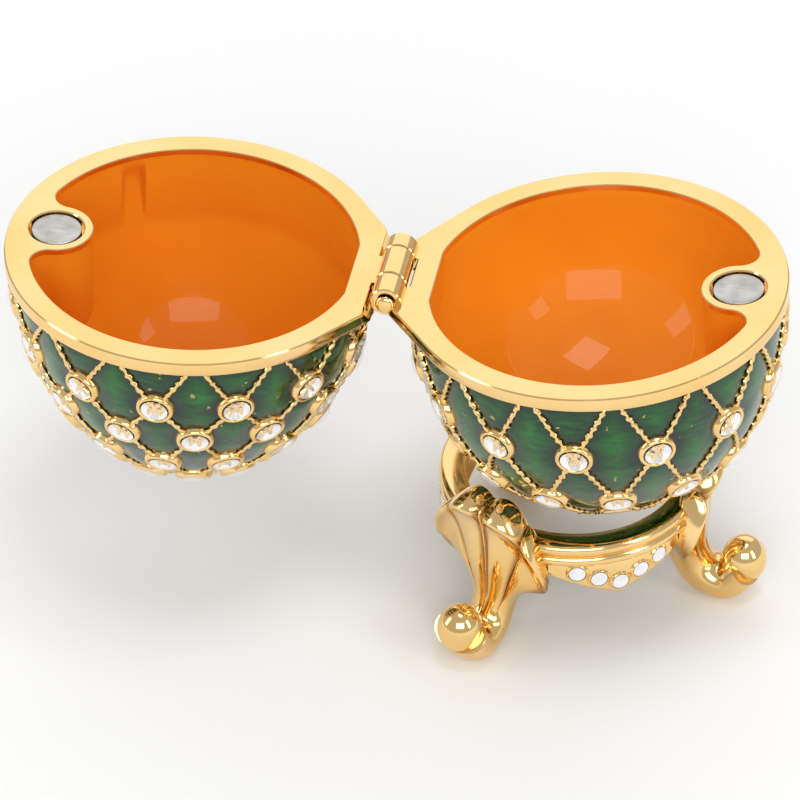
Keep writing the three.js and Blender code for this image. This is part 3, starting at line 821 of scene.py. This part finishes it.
def half_piece(name, body, place, shell_parts, knuckles):
    """One casting of shell and knuckles, placed, with its cell marks."""
    parts, cell = shell_parts
    points, faces, slots = joined(parts + [(p, q, 0) for p, q in knuckles])
    marks = {"cell": np.append(cell, np.zeros(len(points) - len(cell)))}
    materials = [GOLD, GREEN, ORANGE]
    return piece(name, body, placed(points, place), faces, slots, materials, 32.0, marks)


bowl_shell = half_piece(
    "bowl_casting", "base", BOWL_FRAME,
    shell(BOWL_SKIN, bowl_hollow, BOWL_HOLLOW["height"], BOWL_ROWS, BOWL_WIRES, middle_gap),
    [
        knuckle_in(-1, BARREL[0], MIDDLE_KNUCKLE[0] - KNUCKLE_PLAY),
        knuckle_in(-1, MIDDLE_KNUCKLE[1] + KNUCKLE_PLAY, BARREL[1]),
    ],
)
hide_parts("bowl")
lid_shell = half_piece(
    "lid_casting", "lid", LID_FRAME,
    shell(LID_SKIN, lid_hollow, LID_HOLLOW_HEIGHT, LID_ROWS, LID_WIRES, outer_gaps),
    [knuckle_in(1, *MIDDLE_KNUCKLE)],
)
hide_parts("lid")
print("shell faces", len(bowl_shell.data.polygons), len(lid_shell.data.polygons))

# %% [markdown]
# ## Twisted wires
#
# Each wire is two fine strands twisted together and fixed to the casting. Modelling the strands
# one by one would double the faces for a detail under half a millimetre wide. One tube with a
# two-lobed section that turns along the wire casts the same beaded outline.


# %% Wires
WIRE = {"radius": 0.27, "pitch": 2.4, "steps": 120, "sides": 8, "lift": 0.13}


def wires(skin, course):
    """All the wires of a half: for both ways round and every column, the middle line lies on
    the skin at (column + way * travel), and the section's radius swells twice a turn."""
    height = np.linspace(course[0][0], course[-1][0], WIRE["steps"])
    went = travel(course, height)
    ways = np.array([1.0, -1.0])[:, None, None]
    column = np.arange(COLUMNS)[None, :, None]
    angle = math.pi + (column + ways * went) * COLUMN_STEP
    wobble = 0.05 * np.sin(7 * height + 3 * column + ways)
    out, up = skin_normal(skin, height)
    radius = skin_radius(skin, height) + WIRE["lift"] * out
    angle = angle + wobble / radius
    line = around_axis(radius, angle, height + WIRE["lift"] * up)
    along = np.gradient(line, axis=2)
    along /= np.linalg.norm(along, axis=-1, keepdims=True)
    face = around_axis(out, angle, up)
    across = np.cross(along, face)
    across /= np.linalg.norm(across, axis=-1, keepdims=True)
    face = np.cross(across, along)
    run = np.cumsum(np.linalg.norm(np.diff(line, axis=2, prepend=line[:, :, :1]), axis=-1), axis=2)
    around = np.linspace(0, 2 * math.pi, WIRE["sides"] + 1)[:-1]
    twist = 2 * math.pi * run[..., None] / WIRE["pitch"] * ways[..., None]
    uneven = 1 + 0.12 * np.sin(3.1 * run[..., None] + 5 * column[..., None])
    swell = WIRE["radius"] * uneven * (1 + 0.36 * np.cos(2 * (around - twist)))
    swell[:, :, [0, -1]] = 0.0
    across, face = across[..., None, :], face[..., None, :]
    section = across * np.cos(around)[:, None] + face * np.sin(around)[:, None]
    points = line[..., None, :] + swell[..., None] * section
    each = grid_quads(WIRE["steps"], WIRE["sides"])
    count = 2 * COLUMNS
    return points.reshape(-1, 3), many_quads(count, each, WIRE["steps"] * WIRE["sides"])


# %% [markdown]
# ## Cups and crystals
#
# A cup is a small turned collar soldered over each crossing. The stone in it is a round brilliant:
# a flat table, a crown of star, kite and girdle facets, and a pointed back. Its facets are flat,
# so it is built from its few corner rings, and not from a grid. One cup and one stone are drawn
# once and set at every place by that place's own axes.


# %% Setting places on a half
def settings(skin, rows):
    """Origins and axes of the cups: on the skin, with the third axis along its outward slope."""
    origins, axes = [], []
    for height, half in rows:
        out, up = skin_normal(skin, height)
        angle = math.pi + (np.arange(COLUMNS) + half) * COLUMN_STEP
        origins.append(around_axis(skin_radius(skin, height), angle, height))
        away = around_axis(out, angle, up)
        aside = np.stack([-np.sin(angle), np.cos(angle), 0 * angle], -1)
        axes.append(np.stack([aside, np.cross(away, aside), away], 1))
    return np.concatenate(origins), np.concatenate(axes)


def set_at(points, origins, axes):
    """The same points at every setting: origin plus each coordinate times its axis."""
    return origins[:, None] + np.einsum("pk,nkj->npj", points, axes)


CUP_PROFILE = [
    (0.0, -0.6), (1.68, -0.6), (1.68, 0.30), (1.74, 0.46), (1.90, 0.56), (2.08, 0.52),
    (2.20, 0.34), (2.28, 0.05), (2.36, -0.30), (2.30, -0.68), (0.0, -0.68),
]


def cups(origins, axes, profile=CUP_PROFILE, steps=22):
    """A turned cup or collar at every setting."""
    points, quads = turned(profile, steps, closed=False)
    return set_at(points, origins, axes).reshape(-1, 3), many_quads(len(origins), quads, len(points))


def brilliant(girdle, table, crown, pavilion):
    """Corners and faces of a round brilliant, girdle at height 0. Rings of 8 and 16 corners: the
    table, the crown's middle, the girdle's two edges, the back's middle, and the point."""
    eight, sixteen = np.arange(8) * math.pi / 4, np.arange(16) * math.pi / 8

    between = eight + math.pi / 8
    mid = girdle * 0.56 + table * 0.44
    points = np.concatenate([
        around_axis(table, eight, crown), around_axis(mid, between, crown * 0.62),
        around_axis(girdle, sixteen, 0.04), around_axis(girdle, sixteen, -0.04),
        around_axis(girdle * 0.46, between, -pavilion * 0.62), [[0.0, 0.0, -pavilion]],
    ])
    front, back = [list(range(8))], []
    for k in range(8):
        n = (k + 1) % 8
        before = 8 + (k - 1) % 8
        front.append([k, n, 8 + k])
        front.append([k, 8 + k, 16 + 2 * k, before])
        front.append([8 + k, 16 + 2 * k + 1, 16 + 2 * k])
        front.append([8 + k, 16 + (2 * k + 2) % 16, 16 + 2 * k + 1])
        back.append([32 + 2 * k, 32 + 2 * k + 1, 48 + k])
        back.append([32 + 2 * k + 1, 32 + (2 * k + 2) % 16, 48 + k])
        back.append([48 + (k - 1) % 8, 32 + 2 * k, 48 + k, 56])
    for k in range(16):
        front.append([16 + k, 16 + (k + 1) % 16, 32 + (k + 1) % 16, 32 + k])
    return points, front, back


def stone(name, body, shape, origin, axes, node=None):
    """One crystal set at a place, clear in front and foiled behind, in flat facets."""
    points, front, back = shape
    at = (origin + points @ axes) * MM
    mesh = bpy.data.meshes.new(name)
    mesh.from_pydata(at.tolist(), [], front + back)
    slots = np.repeat([0, 1], [len(front), len(back)]).astype(np.int32)
    mesh.polygons.foreach_set("material_index", slots)
    mesh.materials.append(CRYSTAL)
    mesh.materials.append(FOIL)
    work = bmesh.new()
    work.from_mesh(mesh)
    bmesh.ops.recalc_face_normals(work, faces=work.faces)
    work.to_mesh(mesh)
    work.free()
    made = bpy.data.objects.new(name, mesh)
    bpy.context.scene.collection.objects.link(made)
    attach(made, body)
    if node:
        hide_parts(node)
    return made


STONE = brilliant(1.6, 0.95, 0.5, 0.95)
STONE_LIFT = 0.56


# %% Lattice and crystals of the bowl
def placed_axes(axes, place):
    """Axes of a drawing turned with its frame."""
    return axes @ place[1]


def ring_wire(skin, height):
    """A plain gold ring round the pole where the wires end."""
    out, up = skin_normal(skin, height)
    radius = float(skin_radius(skin, height))
    angle = np.linspace(0, 2 * math.pi, 13)[:-1]
    profile = np.stack([radius + 0.5 * np.cos(angle), height + 0.42 * np.sin(angle)], -1)
    return turned(profile, 96)


def lattice(name, body, place, skin, rows, course, extra=()):
    """Wires, cups and end ring of one half as one soldered net."""
    origins, axes = settings(skin, rows)
    parts = [wires(skin, course), cups(origins, axes), ring_wire(skin, course[-1][0]), *extra]
    points, quads, slots = joined([(p, q, 0) for p, q in parts])
    made = piece(name, body, placed(points, place), quads, slots, [GOLD], 50.0)
    print(name, "cups", len(origins), "faces", len(quads))
    return origins, axes


bowl_origins, bowl_axes = lattice(
    "bowl_lattice", "base", BOWL_FRAME, BOWL_SKIN, BOWL_ROWS, BOWL_WIRES
)
for number, (origin, axes) in enumerate(zip(bowl_origins, bowl_axes)):
    row, column = divmod(number, COLUMNS)
    label = f"{row + 1}_{column + 1:02d}"
    lifted = origin + STONE_LIFT * axes[2]
    stone(f"bowl_stone_{label}", "base", STONE, placed(lifted, BOWL_FRAME),
          placed_axes(axes, BOWL_FRAME), f"bowl_crystal_{label}")
print("bowl stones", len(bowl_origins))

# %% Lattice and crystals of the lid
tip_origin = np.array([[0.0, 0.0, LID_SKIN["height"]]])
tip_axes = np.eye(3)[None]
lid_origins, lid_axes = lattice(
    "lid_lattice", "lid", LID_FRAME, LID_SKIN, LID_ROWS, LID_WIRES, [cups(tip_origin, tip_axes)]
)
for number, (origin, axes) in enumerate(zip(lid_origins, lid_axes)):
    row, column = divmod(number, COLUMNS)
    lifted = origin + STONE_LIFT * axes[2]
    stone(f"lid_stone_{row + 1}_{column + 1:02d}", "lid", STONE, placed(lifted, LID_FRAME),
          placed_axes(axes, LID_FRAME))
tip_lifted = tip_origin[0] + np.array([0, 0, STONE_LIFT])
stone("lid_stone_tip", "lid", STONE, placed(tip_lifted, LID_FRAME),
      placed_axes(tip_axes[0], LID_FRAME), "lid_tip_crystal")
print("lid stones", len(lid_origins) + 1)

# %% [markdown]
# ## Magnets and hinge pin
#
# The magnets are plain discs sunk a hair below the rim, with a narrow dark gap round them. The pin
# shows only its riveted head at the near end of the barrel, a low dome with a broken edge.


# %% Magnets and pin
def magnet(name, body, place, node):
    top, low, r = MAGNET["sink"], MAGNET["sink"] + MAGNET["thickness"], MAGNET["radius"]
    points, quads = turned([
        (0, top), (r - 1.0, top + 0.01), (r - 0.2, top + 0.02), (r - 0.06, top + 0.08),
        (r, top + 0.2), (r, low), (0, low),
    ], 64, closed=False)
    points = points + np.array([MAGNET["centre"], 0, 0])
    made = piece(name, body, placed(points, place), quads, np.zeros(len(quads)), [NICKEL], 40.0)
    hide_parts(node)
    return made


magnet("bowl_magnet_disc", "base", BOWL_FRAME, "bowl_magnet")
magnet("lid_magnet_disc", "lid", LID_FRAME, "lid_magnet")

PIN_LOW, PIN_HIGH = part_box("hinge_pin")
pin_near, pin_far = PIN_LOW.y / MM, PIN_HIGH.y / MM
pin_points, pin_quads = turned([
    (0, pin_near), (0.35, pin_near + 0.01), (0.8, pin_near + 0.08), (1.05, pin_near + 0.24),
    (1.15, pin_near + 0.42), (1.1, pin_near + 0.5), (0.6, pin_near + 0.55), (0.6, pin_far - 0.1),
    (0.5, pin_far), (0, pin_far),
], 40, closed=False)
pin_points = np.stack([pin_points[:, 0] + PIN[0], pin_points[:, 2], pin_points[:, 1] + PIN[2]], -1)
pin = piece("hinge_rivet", "base", pin_points, pin_quads, np.zeros(len(pin_quads)), [GOLD], 45.0)
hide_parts("hinge_pin")
print("magnets and pin made")

# %% [markdown]
# ## The stand
#
# The stand is one heavy casting: a moulded ring, three aprons that dip to a point and carry five
# small stones each, and three legs. A leg is a shell-like leaf at the top, with four scalloped
# lobes, that narrows through an ankle to a foot with a round knob. It is made as a section carried
# down a curved line; the lobes and flutes are waves across the front of that section.

# %% Sizes of the stand
STAND_AXIS = (sum(v.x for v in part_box("apron_crystal_2_3")) / 2) / MM + 15.8
LEG_LINE = np.array([
    (16.5, 22.0), (15.4, 17.6), (14.7, 12.0), (14.3, 6.6), (16.0, 3.0), (19.2, 2.1), (21.3, 4.4),
])
LEG = {"ankle": 2.8, "wider": 5.3, "thick": 3.6, "thicker": 1.4, "bend": 16}
LEAF = {"split": 0.62, "drop": 9.0, "notch": 0.9, "flute": 0.62, "rib": 0.05}
KNOB = {"out": 21.3, "height": 5.0, "radius": 2.75, "tall": 3.2}
RING = {"inner": 13.0, "outer": 16.1, "bottom": 13.9, "top": 17.1}
APRON = {
    "inner": 13.2, "outer": 15.9, "half_width": 8.2, "bend": 14.8, "shoulder": 12.5, "tip": 9.0,
}
print("stand axis at x =", round(STAND_AXIS, 2))


# %% The leg's section and line
def smoothstep(value, low, high):
    """0 below low, 1 above high, and 3x^2 - 2x^3 between."""
    x = np.clip((value - low) / (high - low), 0, 1)
    return x * x * (3 - 2 * x)


def curve_point(points, t):
    """A uniform Catmull-Rom curve through the points, t from 0 to 1."""
    last = len(points) - 1
    where = np.clip(t * last, 0, last - 1e-9)
    i = where.astype(int)
    w = (where - i)[..., None]
    p0, p1 = points[np.maximum(i - 1, 0)], points[i]
    p2, p3 = points[np.minimum(i + 1, last)], points[np.minimum(i + 2, last)]
    v0, v1 = (p2 - p0) / 2, (p3 - p1) / 2
    return (2 * p1 - 2 * p2 + v0 + v1) * w**3 + (-3 * p1 + 3 * p2 - 2 * v0 - v1) * w**2 + v0 * w + p1


def leg(rows=110, front=85, behind=85):
    """A leg at azimuth 0. Across the front s runs from -1 to 1 and back behind. The half width
    grows from the ankle to the leaf; the depth is half the thickness times a round section, plus
    the flutes, a thin middle rib and the rolled lip at the top. Front and back meet in one line
    at the top. Returns points, quads and a mark of painted shade, with some dirt, that is 1 in the
    grooves between the lobes."""
    t = np.linspace(0, 1, rows) ** 1.15
    s = np.concatenate([np.linspace(-1, 1, front), np.linspace(1, -1, behind)[1:-1]])
    side = np.concatenate([np.ones(front), -np.ones(behind - 2)])
    middle = curve_point(LEG_LINE, t)
    after, before = (curve_point(LEG_LINE, np.clip(t + step, 0, 1)) for step in (1e-4, -1e-4))
    ahead = after - before
    ahead /= np.linalg.norm(ahead, axis=1, keepdims=True)
    t, s_row, side_row = t[:, None], s[None, :], side[None, :]
    leaf = smoothstep(1 - t, 0.45, 1)
    fluted = smoothstep(1 - t, 0.30, 0.72)
    away = np.abs(s_row)
    inner = np.clip((away - LEAF["rib"]) / (LEAF["split"] - LEAF["rib"]), 0, 1)
    outer = np.clip((away - LEAF["split"]) / (1 - LEAF["split"]), 0, 1)
    lobe = np.abs(np.sin(math.pi * np.where(away < LEAF["split"], inner, outer)))
    thickness = LEG["thick"] + LEG["thicker"] * smoothstep(t, 0.1, 0.62)
    half_width = LEG["ankle"] + LEG["wider"] * smoothstep(1 - t, 0.38, 1)
    round_section = np.sqrt(np.clip(1 - s_row**2 * (1 - leaf * 0.55), 0, 1))
    lip = 0.7 * np.exp(-(((t - 0.05) / 0.04) ** 2)) - 0.45 * np.exp(-(((t - 0.17) / 0.08) ** 2))
    closing = np.sqrt(np.clip(1 - (1 - np.clip(t / 0.05, 0, 1)) ** 2, 0, 1))
    rib = 0.25 * fluted * np.exp(-((away / (LEAF["rib"] * 0.8)) ** 2))
    front = LEAF["flute"] * fluted * (lobe**0.45 - 0.7) + lip * leaf * lobe**0.6 + rib
    relief = np.where(side_row > 0, front, 0)
    depth = (side_row * thickness * round_section / 2 + relief) * closing
    out = middle[:, :1] - ahead[:, 1:] * depth
    fall = (LEAF["drop"] * away**3 + LEAF["notch"] * (1 - lobe**0.7)) * leaf
    height = middle[:, 1:] + ahead[:, :1] * depth - fall
    points = around_axis(out, s_row * half_width / LEG["bend"], height)
    # 1 in the front's grooves between the lobes: where the gold gets painted shade, with some dirt
    groove_dirt_and_shade = np.where(side_row > 0, fluted * np.exp(-((lobe / 0.25) ** 2)) * (away > 0.02), 0)
    points = np.concatenate([points, np.broadcast_to(points[-1].mean(0), (1, *points[-1].shape))])
    groove_dirt_and_shade = np.concatenate([groove_dirt_and_shade, groove_dirt_and_shade[-1:]])
    return points.reshape(-1, 3), grid_quads(rows + 1, len(s)), groove_dirt_and_shade.ravel()


def knob():
    """The ball at the toe: a turned half circle, a little taller than wide."""
    angle = np.linspace(-math.pi / 2, math.pi / 2, 29)
    profile = np.stack([KNOB["radius"] * np.cos(angle), KNOB["tall"] * np.sin(angle)], -1)
    points, quads = turned(profile, 44, closed=False)
    return points + np.array([KNOB["out"], 0, KNOB["height"]]), quads


# %% The ring and the aprons
def stand_ring():
    """The ring's section: flat inside, two round beads outside, with a groove between them."""
    bead = (RING["top"] - RING["bottom"]) / 4
    angle = np.linspace(-1.35, 1.35, 11)
    beads = [
        np.stack([RING["outer"] - bead + bead * np.cos(angle), centre + bead * np.sin(angle)], -1)
        for centre in (RING["bottom"] + bead, RING["top"] - bead)
    ]
    inner = np.array([
        (RING["outer"] - bead, RING["top"]), (RING["inner"] + 0.3, RING["top"]),
        (RING["inner"], RING["top"] - 0.3), (RING["inner"], RING["bottom"] + 0.2),
        (RING["inner"] + 0.2, RING["bottom"]),
    ])
    return turned(np.concatenate([*beads, inner]), 180)


def apron(columns=81, around=28):
    """A panel bent round the ring at azimuth 0: its section is a rounded bar from the ring down
    to an edge that dips to the tip as a soft V, with a small bead along that edge."""
    u = np.linspace(-1, 1, columns)
    dip = (1 - np.sqrt(u**2 + 0.004)) / (1 - math.sqrt(0.004))
    low = APRON["shoulder"] + (APRON["tip"] - APRON["shoulder"]) * np.clip(dip, 0, 1) ** 0.9
    high = np.full(columns, RING["bottom"] + 0.5)
    angle = np.linspace(0, 2 * math.pi, around + 1)[:-1]
    across = np.sign(np.cos(angle)) * np.abs(np.cos(angle)) ** 0.35
    upward = np.sign(np.sin(angle)) * np.abs(np.sin(angle)) ** 0.6
    level = low[:, None] + (high - low)[:, None] * (upward + 1) / 2
    edge = np.exp(-(((level - low[:, None]) - 0.4) / 0.35) ** 2) * (across > 0.3)
    outer = APRON["outer"] - 0.35 * np.clip(APRON["shoulder"] - level, 0, 3) / 3.5 - 0.12
    radius = (outer + APRON["inner"]) / 2 + across * (outer - APRON["inner"]) / 2 + 0.14 * edge
    points = around_axis(radius, (u * APRON["half_width"] / APRON["bend"])[:, None], level)
    points = np.concatenate([
        np.broadcast_to(points[0].mean(0), (1, *points[0].shape)),
        points,
        np.broadcast_to(points[-1].mean(0), (1, *points[-1].shape)),
    ])
    return points.reshape(-1, 3), grid_quads(columns + 2, around)


APRON_STONE = {"step": 9.6, "tip": 11.1, "rise": 0.95, "out": 15.8}


def apron_settings(side):
    """The five settings of an apron: facing out, following the V."""
    place = np.arange(5) - 2
    angle = math.radians(60 + 120 * side) + np.radians(place * APRON_STONE["step"])
    level = APRON_STONE["tip"] + np.abs(place) * APRON_STONE["rise"]
    away = around_axis(1.0, angle, 0.0)
    aside = np.stack([-np.sin(angle), np.cos(angle), 0 * angle], -1)
    origins = around_axis(APRON_STONE["out"], angle, level)
    return origins, np.stack([aside, np.cross(away, aside), away], 1)


COLLAR_PROFILE = [
    (1.06, -0.5), (1.06, 0.05), (1.12, 0.16), (1.22, 0.18), (1.32, 0.08), (1.42, -0.15),
    (1.42, -0.5),
]
COLLAR_STEPS = 18


# %% The stand as one casting
def turned_about(points, degrees):
    """Points turned about the stand's axis."""
    a = math.radians(degrees)
    turn = np.array([[math.cos(a), math.sin(a), 0], [-math.sin(a), math.cos(a), 0], [0, 0, 1]])
    return points @ turn


def cleared(points):
    """Points kept out of the bowl's room and above the floor. Inside the room a point moves out
    from the egg's axis to the skin's radius plus the clearance at its own height."""
    origin, axes = BOWL_FRAME
    local = (points - origin) @ axes.T
    room = {"radius": BOWL_SKIN["radius"] + 0.32, "height": BOWL_SKIN["height"] + 0.32,
            "power": BOWL_SKIN["power"]}
    reach = np.hypot(local[:, 0], local[:, 1])
    need = skin_radius(room, local[:, 2]) * (local[:, 2] < room["height"]) * (local[:, 2] > 0)
    push = np.where(reach < need, need / np.maximum(reach, 1e-6), 1.0)
    local[:, :2] *= push[:, None]
    moved = origin + local @ axes
    moved[:, 2] = np.maximum(moved[:, 2], 0.0)
    return moved


leg_points, leg_quads, leg_groove_dirt_and_shade = leg()
knob_points, knob_quads = knob()
apron_points, apron_quads = apron()
stand_parts, groove_dirt_and_shade = [], []
for side in range(3):
    stand_parts.append((turned_about(leg_points, 120 * side), leg_quads, 0))
    groove_dirt_and_shade.append(leg_groove_dirt_and_shade)
    for points, quads in ((knob_points, knob_quads), (turned_about(apron_points, 60), apron_quads)):
        stand_parts.append((turned_about(points, 120 * side), quads, 0))
        groove_dirt_and_shade.append(np.zeros(len(points)))
    collar_points, _ = cups(*apron_settings(side), COLLAR_PROFILE, COLLAR_STEPS)
    one_collar = grid_quads(len(COLLAR_PROFILE), COLLAR_STEPS, wrap_rows=True)
    collar_quads = many_quads(5, one_collar, len(COLLAR_PROFILE) * COLLAR_STEPS)
    stand_parts.append((collar_points, collar_quads, 0))
    groove_dirt_and_shade.append(np.zeros(len(collar_points)))
ring_points, ring_quads = stand_ring()
stand_parts.append((ring_points, ring_quads, 0))
groove_dirt_and_shade.append(np.zeros(len(ring_points)))
points, quads, slots = joined(stand_parts)
points = cleared(points + np.array([STAND_AXIS, 0, 0]))
# the grooves' mark, for painted shade with some dirt in the flutes, is kept on the stand's points
stand = piece("stand_casting", "base", points, quads, slots, [GOLD], 50.0,
              {"groove_dirt_and_shade": np.concatenate(groove_dirt_and_shade)})
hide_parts("stand")
print("stand faces", len(quads))

# %% Crystals of the stand
SMALL_STONE = brilliant(1.0, 0.6, 0.35, 0.14)
SMALL_STONE_LIFT = 0.17
for side in range(3):
    origins, axes = apron_settings(side)
    for number in range(5):
        stone(f"apron_stone_{side + 1}_{number + 1}", "base", SMALL_STONE,
              origins[number] + np.array([STAND_AXIS, 0, 0]) + SMALL_STONE_LIFT * axes[number][2],
              axes[number],
              f"apron_crystal_{side + 1}_{number + 1}")
print("apron stones", 15)

# %% [markdown]
# ## Floor, light and camera
#
# The box stands on a plain pale floor in soft studio light: a broad lamp behind lights the rims,
# one in front fills the hollows and the stones, one above lights the floor, and strips at the
# sides draw the edges of the gold. The world is a light grey, so that bright metal has something
# darker than the lamps to reflect. The camera looks down from the front, a little from the right,
# through a long lens.

# %% Floor
floor_finish = Finish("pale paper", Roughness=0.9)
floor_finish.feed(
    "Base Color",
    floor_finish.group(
        TWO_TONE, Scale=3.0, Tone_A=(0.93, 0.93, 0.93, 1), Tone_B=(0.92, 0.92, 0.92, 1)
    ),
)
floor_mesh = bpy.data.meshes.new("floor")
corners = np.array([(-4, -4, 0), (4, -4, 0), (4, 4, 0), (-4, 4, 0)], float)
FLOOR_DROP = 0.00002  # metres below the feet, so that the surfaces don't coincide
floor_mesh.from_pydata((corners - [0, 0, FLOOR_DROP]).tolist(), [], [(0, 1, 2, 3)])
floor_mesh.materials.append(floor_finish.material)
floor = bpy.data.objects.new("floor", floor_mesh)
bpy.context.scene.collection.objects.link(floor)


# %% Lamps and world
def lamp(name, place, size, power, aim=(0.0, 0.0, 0.03)):
    """A soft rectangular lamp at a place, turned to the aim."""
    data = bpy.data.lights.new(name, "AREA")
    data.shape = "RECTANGLE"
    data.size, data.size_y = size
    data.energy = power
    made = bpy.data.objects.new(name, data)
    made.location = place
    made.rotation_euler = (Vector(aim) - Vector(place)).to_track_quat("-Z", "Y").to_euler()
    bpy.context.scene.collection.objects.link(made)
    return made


lamp("back_lamp", (-0.1, 0.75, 0.62), (1.3, 0.7), 1.9)
lamp("top_lamp", (0.1, -0.05, 0.9), (0.35, 0.3), 1.8)
lamp("front_lamp", (0.2, -0.95, 0.6), (0.8, 0.45), 4.2)
lamp("left_lamp", (-0.7, -0.25, 0.35), (0.2, 0.5), 1.0)
lamp("right_lamp", (0.7, -0.35, 0.4), (0.2, 0.5), 1.0)
world = bpy.data.worlds.new("studio")
world.use_nodes = True
world.node_tree.nodes["Background"].inputs["Color"].default_value = (1.0, 1.0, 1.0, 1)
world.node_tree.nodes["Background"].inputs["Strength"].default_value = 0.56
bpy.context.scene.world = world
bpy.context.scene.view_settings.view_transform = "Standard"

# %% Camera
AZIMUTH, ELEVATION, ROLL = (math.radians(v) for v in (10.635, 38.563, -0.587))
back = Vector((math.sin(AZIMUTH) * math.cos(ELEVATION), -math.cos(AZIMUTH) * math.cos(ELEVATION),
               math.sin(ELEVATION)))
right = Vector((math.cos(AZIMUTH), math.sin(AZIMUTH), 0))
up = back.cross(right)
tilted_right = right * math.cos(ROLL) + up * math.sin(ROLL)
tilted_up = up * math.cos(ROLL) - right * math.sin(ROLL)
camera_data = bpy.data.cameras.new("camera")
camera_data.lens = 202.5
camera_data.sensor_width = 36.0
camera_data.clip_end = 10.0
camera = bpy.data.objects.new("camera", camera_data)
turn = Matrix((tilted_right, tilted_up, back)).transposed()
camera.matrix_world = Matrix.Translation((0.078695, -0.416506, 0.361764)) @ turn.to_4x4()
bpy.context.scene.collection.objects.link(camera)
bpy.context.scene.camera = camera
